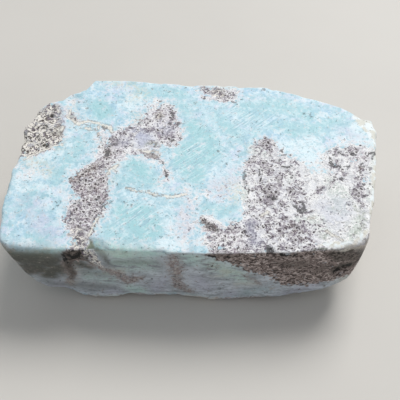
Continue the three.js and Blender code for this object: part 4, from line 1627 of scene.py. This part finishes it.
@dataclass(frozen=True)
class GroundFront:
    """The same stone's ground front: duller, stained green and olive, with painted light and shade at its
    rim, notch and pit, and a brown fibrous wedge.
    """

    grey: Tint = tint(186, 194, 202)
    dark: Tint = tint(132, 138, 143)
    light: Tint = tint(222, 229, 238)
    lilac: Tint = tint(182, 180, 200)
    teal: Tint = tint(158, 184, 188)
    # Pale green, lightened to paint light on the front lip under the rim; lower down it is the stone's
    # green.
    green: Tint = tint(204, 248, 230)
    # Olive stains; below the front rim and down the notch it lays painted shade.
    olive: Tint = tint(73, 74, 65)
    stain: Tint = tint(146, 128, 124)
    stain_dark: Tint = tint(84, 74, 70)
    stain_light: Tint = tint(194, 188, 182)
    warm: Tint = tint(186, 182, 164)
    wedge: Tint = tint(142, 127, 122)
    wedge_light: Tint = tint(216, 202, 198)
    wedge_dark: Tint = tint(66, 56, 53)
    umber: Tint = tint(106, 97, 90)
    umber_dark: Tint = tint(48, 42, 38)
    cream: Tint = tint(222, 220, 208)
    # Near black: dark grains, and painted shadow inside the pit on the right.
    ink: Tint = tint(14, 12, 10)

    def colour(self, paint: Paint, noises: Noises) -> Any:
        """The front's colour.

        Args:
            paint: The material's tree.
            noises: The patterns that the finishes share.

        Returns:
            A colour socket.
        """
        cloud = paint.field("cloud")
        olive = (paint.field("olive") - cloud * 0.5).step(0.0, 1.0)
        fibre = paint.noise(paint.place(0.0, (0.75, 0.75, 1.2)), 0.72, 2.0, 0.7, 1.0)
        streak = paint.noise(paint.place(0.0, (0.35, 0.35, 1.2)), 1.8, 4.0, 0.65, 0.6)
        stained = paint.ragged("brown", noises.fine, 1.8, 0.05, 0.85)
        umber = paint.mix(self.umber_dark, self.umber, fibre.step(0.42, 0.62))
        return paint.over(
            self.dark,
            (self.grey, streak.step(0.3, 0.56)),
            (self.light, (streak + cloud * 0.1).step(0.52, 0.7) * 0.8),
            (self.teal, paint.field("teal") * 0.7),
            (self.lilac, paint.field("lilac") * 0.6),
            # Green: painted light on the lip under the rim, the stone's own tint lower down.
            (self.green, paint.field("green") * streak.step(0.36, 0.5)),
            (self.warm, paint.field("warm") * streak.step(0.4, 0.6) * 0.7),
            (self.light, fibre.step(0.53, 0.66) * 0.35),
            (self.dark, fibre.step(0.47, 0.32) * 0.35),
            # Olive stains, and painted shade below the rim and down the notch.
            (self.olive, (olive + (streak - 0.5) * 1.2).step(0.0, 1.0) * 0.95),
            (self.warm, olive * fibre.step(0.5, 0.66) * streak.step(0.46, 0.6) * 0.2),
            (self.stained(paint, noises), stained * (0.85 - olive * 0.3)),
            (self.wedged(paint, fibre), paint.ragged("matrix", noises.fine, 2.6, 0.3, 0.66)),
            (umber, paint.ragged("umber", fibre, 1.6, 0.15, 0.85) * 0.9),
            # Cream veins, and painted light on the lip at the right of the front rim.
            (self.cream, paint.ragged("cream", noises.fleck, 1.2, 0.4, 0.75) * 0.7),
        )

    def stained(self, paint: Paint, noises: Noises) -> Any:
        """The brown streaks: pinkish brown, curled through with dark and pale lines.

        Args:
            paint: The material's tree.
            noises: The patterns that the finishes share.

        Returns:
            A colour socket.
        """
        curls = paint.noise(paint.place(), 1.3, 2.0, 0.6, 0.9) - 0.5
        return paint.over(
            self.stain,
            (self.stain_dark, noises.fleck.step(0.48, 0.38)),
            (self.stain_dark, (curls - 0.06).size().step(0.03, 0.01) * 0.8),
            (self.stain_light, curls.size().step(0.04, 0.01) * 0.8),
        )

    def wedged(self, paint: Paint, fibre: Wire) -> Any:
        """The brown wedge: level fibres and grains, dark between them.

        Args:
            paint: The material's tree.
            fibre: The noise of the fibres.

        Returns:
            A colour socket.
        """
        return paint.over(
            self.wedge_dark,
            (self.wedge, fibre.step(0.4, 0.52)),
            (self.wedge_light, fibre.step(0.52, 0.66)),
        )


@dataclass(frozen=True)
class Larimar:
    """The whole stone: sawn blue and speckled stone on top, its ground front and its broken sides."""

    lilac: Tint = tint(184, 190, 212)
    cream: Tint = tint(232, 230, 222)
    cream_edge: Tint = tint(150, 143, 138)
    warm: Tint = tint(216, 212, 192)
    olive: Tint = tint(112, 124, 104)
    crust: Tint = tint(214, 208, 190)
    rust: Tint = tint(150, 124, 98)
    halo: Tint = tint(222, 227, 234)
    ink: Tint = tint(66, 64, 68)
    # Pale tint of worn rims; with the lip tint below it also lays painted glints and painted highlight on
    # the rims.
    wear_and_highlight: Tint = tint(232, 240, 243)
    lip: Tint = tint(216, 214, 204)
    front: GroundFront = GroundFront()
    blue: SawnBlue = SawnBlue()
    speckled: SpeckledStone = SpeckledStone()
    roughness: float = 0.6
    bump_strength: float = 0.6
    bump_mm: float = 0.35
    ior: float = 1.5

    def broken(self, paint: Paint, top: Any) -> Any:
        """The broken sides: paler and chalky, with a cream skin and rusty stains in the hollows.

        Args:
            paint: The material's tree.
            top: The colour of the stone under the skin.

        Returns:
            A colour socket.
        """
        at = paint.place()
        return paint.over(
            top,
            (self.crust, paint.noise(at, 9.0, 3.0).step(0.44, 0.6) * 0.6),
            (self.rust, paint.noise(at, 5.0, 4.0).step(0.56, 0.66) * 0.5),
        )

    def sawn(self, paint: Paint, noises: Noises, is_matrix: Wire) -> Any:
        """The sawn top's colour, with its veins, stains and specks, painted shadow in the notch and painted
        glints on the rims.

        Args:
            paint: The material's tree.
            noises: The patterns that the finishes share.
            is_matrix: Where the stone is speckled.

        Returns:
            A colour socket.
        """
        fine, mid = noises.fine, noises.mid
        cream_edge = paint.ragged("cream", fine, 1.2, 0.05, 0.35) * noises.fleck.step(0.4, 0.54)
        cream = paint.ragged("cream", fine, 1.2, 0.4, 0.7) * (noises.grain.step(0.36, 0.54) * 0.4 + 0.55)
        # Wear on the rims, mixed with painted glints and painted highlight on the front lip and the right
        # rim.
        wear_and_highlight = paint.mix(self.lip, self.wear_and_highlight, mid.step(0.46, 0.56))
        return paint.over(
            self.blue.colour(paint, noises),
            (self.halo, paint.ragged("matrix", mid, 1.6, 0.0, 0.34) * fine.step(0.36, 0.56) * 0.7),
            (self.warm, paint.field("warm") * fine.step(0.38, 0.56) * (0.5 - is_matrix * 0.3)),
            (self.speckled.colour(paint, noises), is_matrix),
            (self.lilac, paint.field("lilac") * mid.step(0.36, 0.5) * 0.7),
            (self.cream_edge, cream_edge * 0.75),
            (self.cream, cream),
            # Olive stains, and painted shadow down the notch's crease.
            (self.olive, paint.ragged("olive", fine, 1.0, 0.2, 0.8) * 0.9),
            # Lays the wear with its painted glints and painted highlight.
            (wear_and_highlight, paint.ragged("wear_and_highlight", fine, 1.2, 0.2, 0.8) * 0.9),
        )

    def material(self) -> bpy.types.Material:
        """Makes the material.

        Returns:
            The material, for the stone's mesh and its fields.
        """
        paint = Paint("larimar")
        noises = Noises.on(paint)
        ragged = (noises.fine - 0.5) * 1.3 + (noises.mid - 0.5) * 1.4 + (noises.chance - 0.5) * 0.2
        is_matrix = (paint.field("matrix") + ragged).step(0.36, 0.62)
        is_ink = paint.ragged("ink", noises.fleck, 3.0, 0.4, 0.72)
        is_broken = paint.field("broken")
        is_front = paint.field("front")
        holes = SpeckledStone.is_pitted(paint, noises)
        front = paint.over(
            self.front.colour(paint, noises),
            (self.speckled.pitted(paint, noises), holes),
            # Dark grains, and painted shadow in the pit on the right.
            (self.front.ink, is_ink * 0.97),
        )
        colour = paint.over(
            self.sawn(paint, noises, is_matrix),
            (self.ink, is_ink * (is_matrix * 0.25 + 0.6)),
            (front, is_front),
        )
        wear_and_highlight = paint.ragged("rim", noises.fine, 1.4, 0.4, 0.9)
        colour = paint.over(
            colour,
            (self.broken(paint, colour), is_broken),
            (self.wear_and_highlight, wear_and_highlight * (1.0 - is_matrix) * (1.0 - is_front * 0.6) * 0.6),
        )
        relief = noises.fine * 0.5 + noises.grain * 0.35 - is_matrix * noises.cell.step(0.36, 0.2) * 0.4
        relief = relief - is_ink * 0.4 - holes * is_matrix * noises.fine.step(0.5, 0.4) * 0.6
        bump = paint.node("ShaderNodeBump", {}, {
            "Strength": self.bump_strength, "Distance": self.bump_mm * MM, "Height": relief,
        })
        shader = paint.node("ShaderNodeBsdfPrincipled", {}, {
            "Base Color": colour, "Roughness": is_matrix * 0.15 + is_broken * 0.1 + self.roughness,
            "Normal": bump.outputs[0], "IOR": self.ior,
        })
        paint.node("ShaderNodeOutputMaterial", {}, {"Surface": shader.outputs[0]})
        return paint.made


@dataclass(frozen=True)
class PaleTable:
    """A plain pale table top, with a faint unevenness."""

    light: Tint = tint(206, 203, 198)
    shade: Tint = tint(198, 195, 190)
    cloud_mm: float = 60.0
    roughness: float = 0.6

    def material(self) -> bpy.types.Material:
        """Makes the material.

        Returns:
            The material of the table.
        """
        paint = Paint("pale_table")
        colour = paint.mix(self.light, self.shade, paint.noise(paint.place(), self.cloud_mm))
        inputs = {"Base Color": colour, "Roughness": self.roughness}
        shader = paint.node("ShaderNodeBsdfPrincipled", {}, inputs)
        paint.node("ShaderNodeOutputMaterial", {}, {"Surface": shader.outputs[0]})
        return paint.made


# ---------------------------------------------------------------- studio


@dataclass(frozen=True)
class Lamp:
    """A square soft light, aimed at the stone. Places in metres, power in watts."""

    name: str
    at: Triple
    side: float
    power: float
    colour: Triple


@dataclass
class Studio:
    """The table, the lights and the camera. Metres and degrees, the aim in the form's own frame in mm."""

    floor_half: float = 3.0
    aim: Triple = (0.07, -15.02, 22.0)
    camera_pitch: float = 52.0
    camera_distance: float = 0.15605
    lens: float = 54.64
    sensor: float = 36.0
    near: float = 0.005
    far: float = 20.0
    world_colour: Tint = (0.94, 0.97, 1.0, 1.0)
    world_strength: float = 0.46
    lamps: tuple[Lamp, ...] = (
        Lamp("window", (1.5, 2.8, 3.5), 2.2, 200.0, (1.0, 0.985, 0.96)),
    )

    def build(self, shift: np.ndarray) -> None:
        """Makes everything that isn't the stone.

        Args:
            shift: From the form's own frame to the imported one, in mm.
        """
        self.lay_floor()
        self.light()
        self.set_camera(Vector((np.array(self.aim) + shift) * MM))

    def lay_floor(self) -> None:
        """A square pale floor at the level that the stone rests on."""
        half = self.floor_half
        u, v = np.meshgrid([-half, half], [-half, half], indexing="ij")
        corners = np.column_stack([u.ravel(), v.ravel(), np.zeros(4)])
        mesh = bpy.data.meshes.new("floor")
        mesh.from_pydata(corners.tolist(), [], [(0, 2, 3, 1)])
        mesh.materials.append(PaleTable().material())
        floor = bpy.data.objects.new("floor", mesh)
        bpy.context.scene.collection.objects.link(floor)

    def light(self) -> None:
        """The lamps, an even surrounding light, and how light becomes colour on the screen."""
        for lamp in self.lamps:
            data = bpy.data.lights.new(lamp.name, "AREA")
            data.energy, data.size, data.color = lamp.power, lamp.side, lamp.colour
            light = bpy.data.objects.new(lamp.name, data)
            light.location = lamp.at
            light.rotation_euler = (-Vector(lamp.at)).to_track_quat("-Z", "Y").to_euler()
            bpy.context.scene.collection.objects.link(light)
        world = bpy.data.worlds.new("studio")
        world.use_nodes = True
        back = world.node_tree.nodes["Background"]
        back.inputs["Color"].default_value = self.world_colour
        back.inputs["Strength"].default_value = self.world_strength
        bpy.context.scene.world = world
        bpy.context.scene.view_settings.view_transform = "Standard"

    def set_camera(self, aim: Vector) -> None:
        """The camera, looking down at the stone's front from a hand's breadth away.

        Args:
            aim: The point that it looks at.
        """
        pitch = math.radians(self.camera_pitch)
        back = Vector((0.0, -math.cos(pitch), math.sin(pitch)))
        data = bpy.data.cameras.new("camera")
        data.lens, data.sensor_width = self.lens, self.sensor
        data.clip_start, data.clip_end = self.near, self.far
        camera = bpy.data.objects.new("camera", data)
        camera.location = aim + back * self.camera_distance
        camera.rotation_euler = (math.pi / 2 - pitch, 0.0, 0.0)
        bpy.context.scene.collection.objects.link(camera)
        bpy.context.scene.camera = camera


def corners(box: Sequence[Any]) -> list[list[float]]:
    """A box's lowest and highest corner as plain lists of numbers."""
    return [[float(value) for value in corner] for corner in box]


def main() -> None:
    """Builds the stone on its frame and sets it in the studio."""
    logging.basicConfig(level=logging.INFO, format="%(name)s: %(message)s")
    stone = LarimarChunk()
    stone.build()
    Studio().build(stone.shift())


if __name__ == "__main__":
    main()
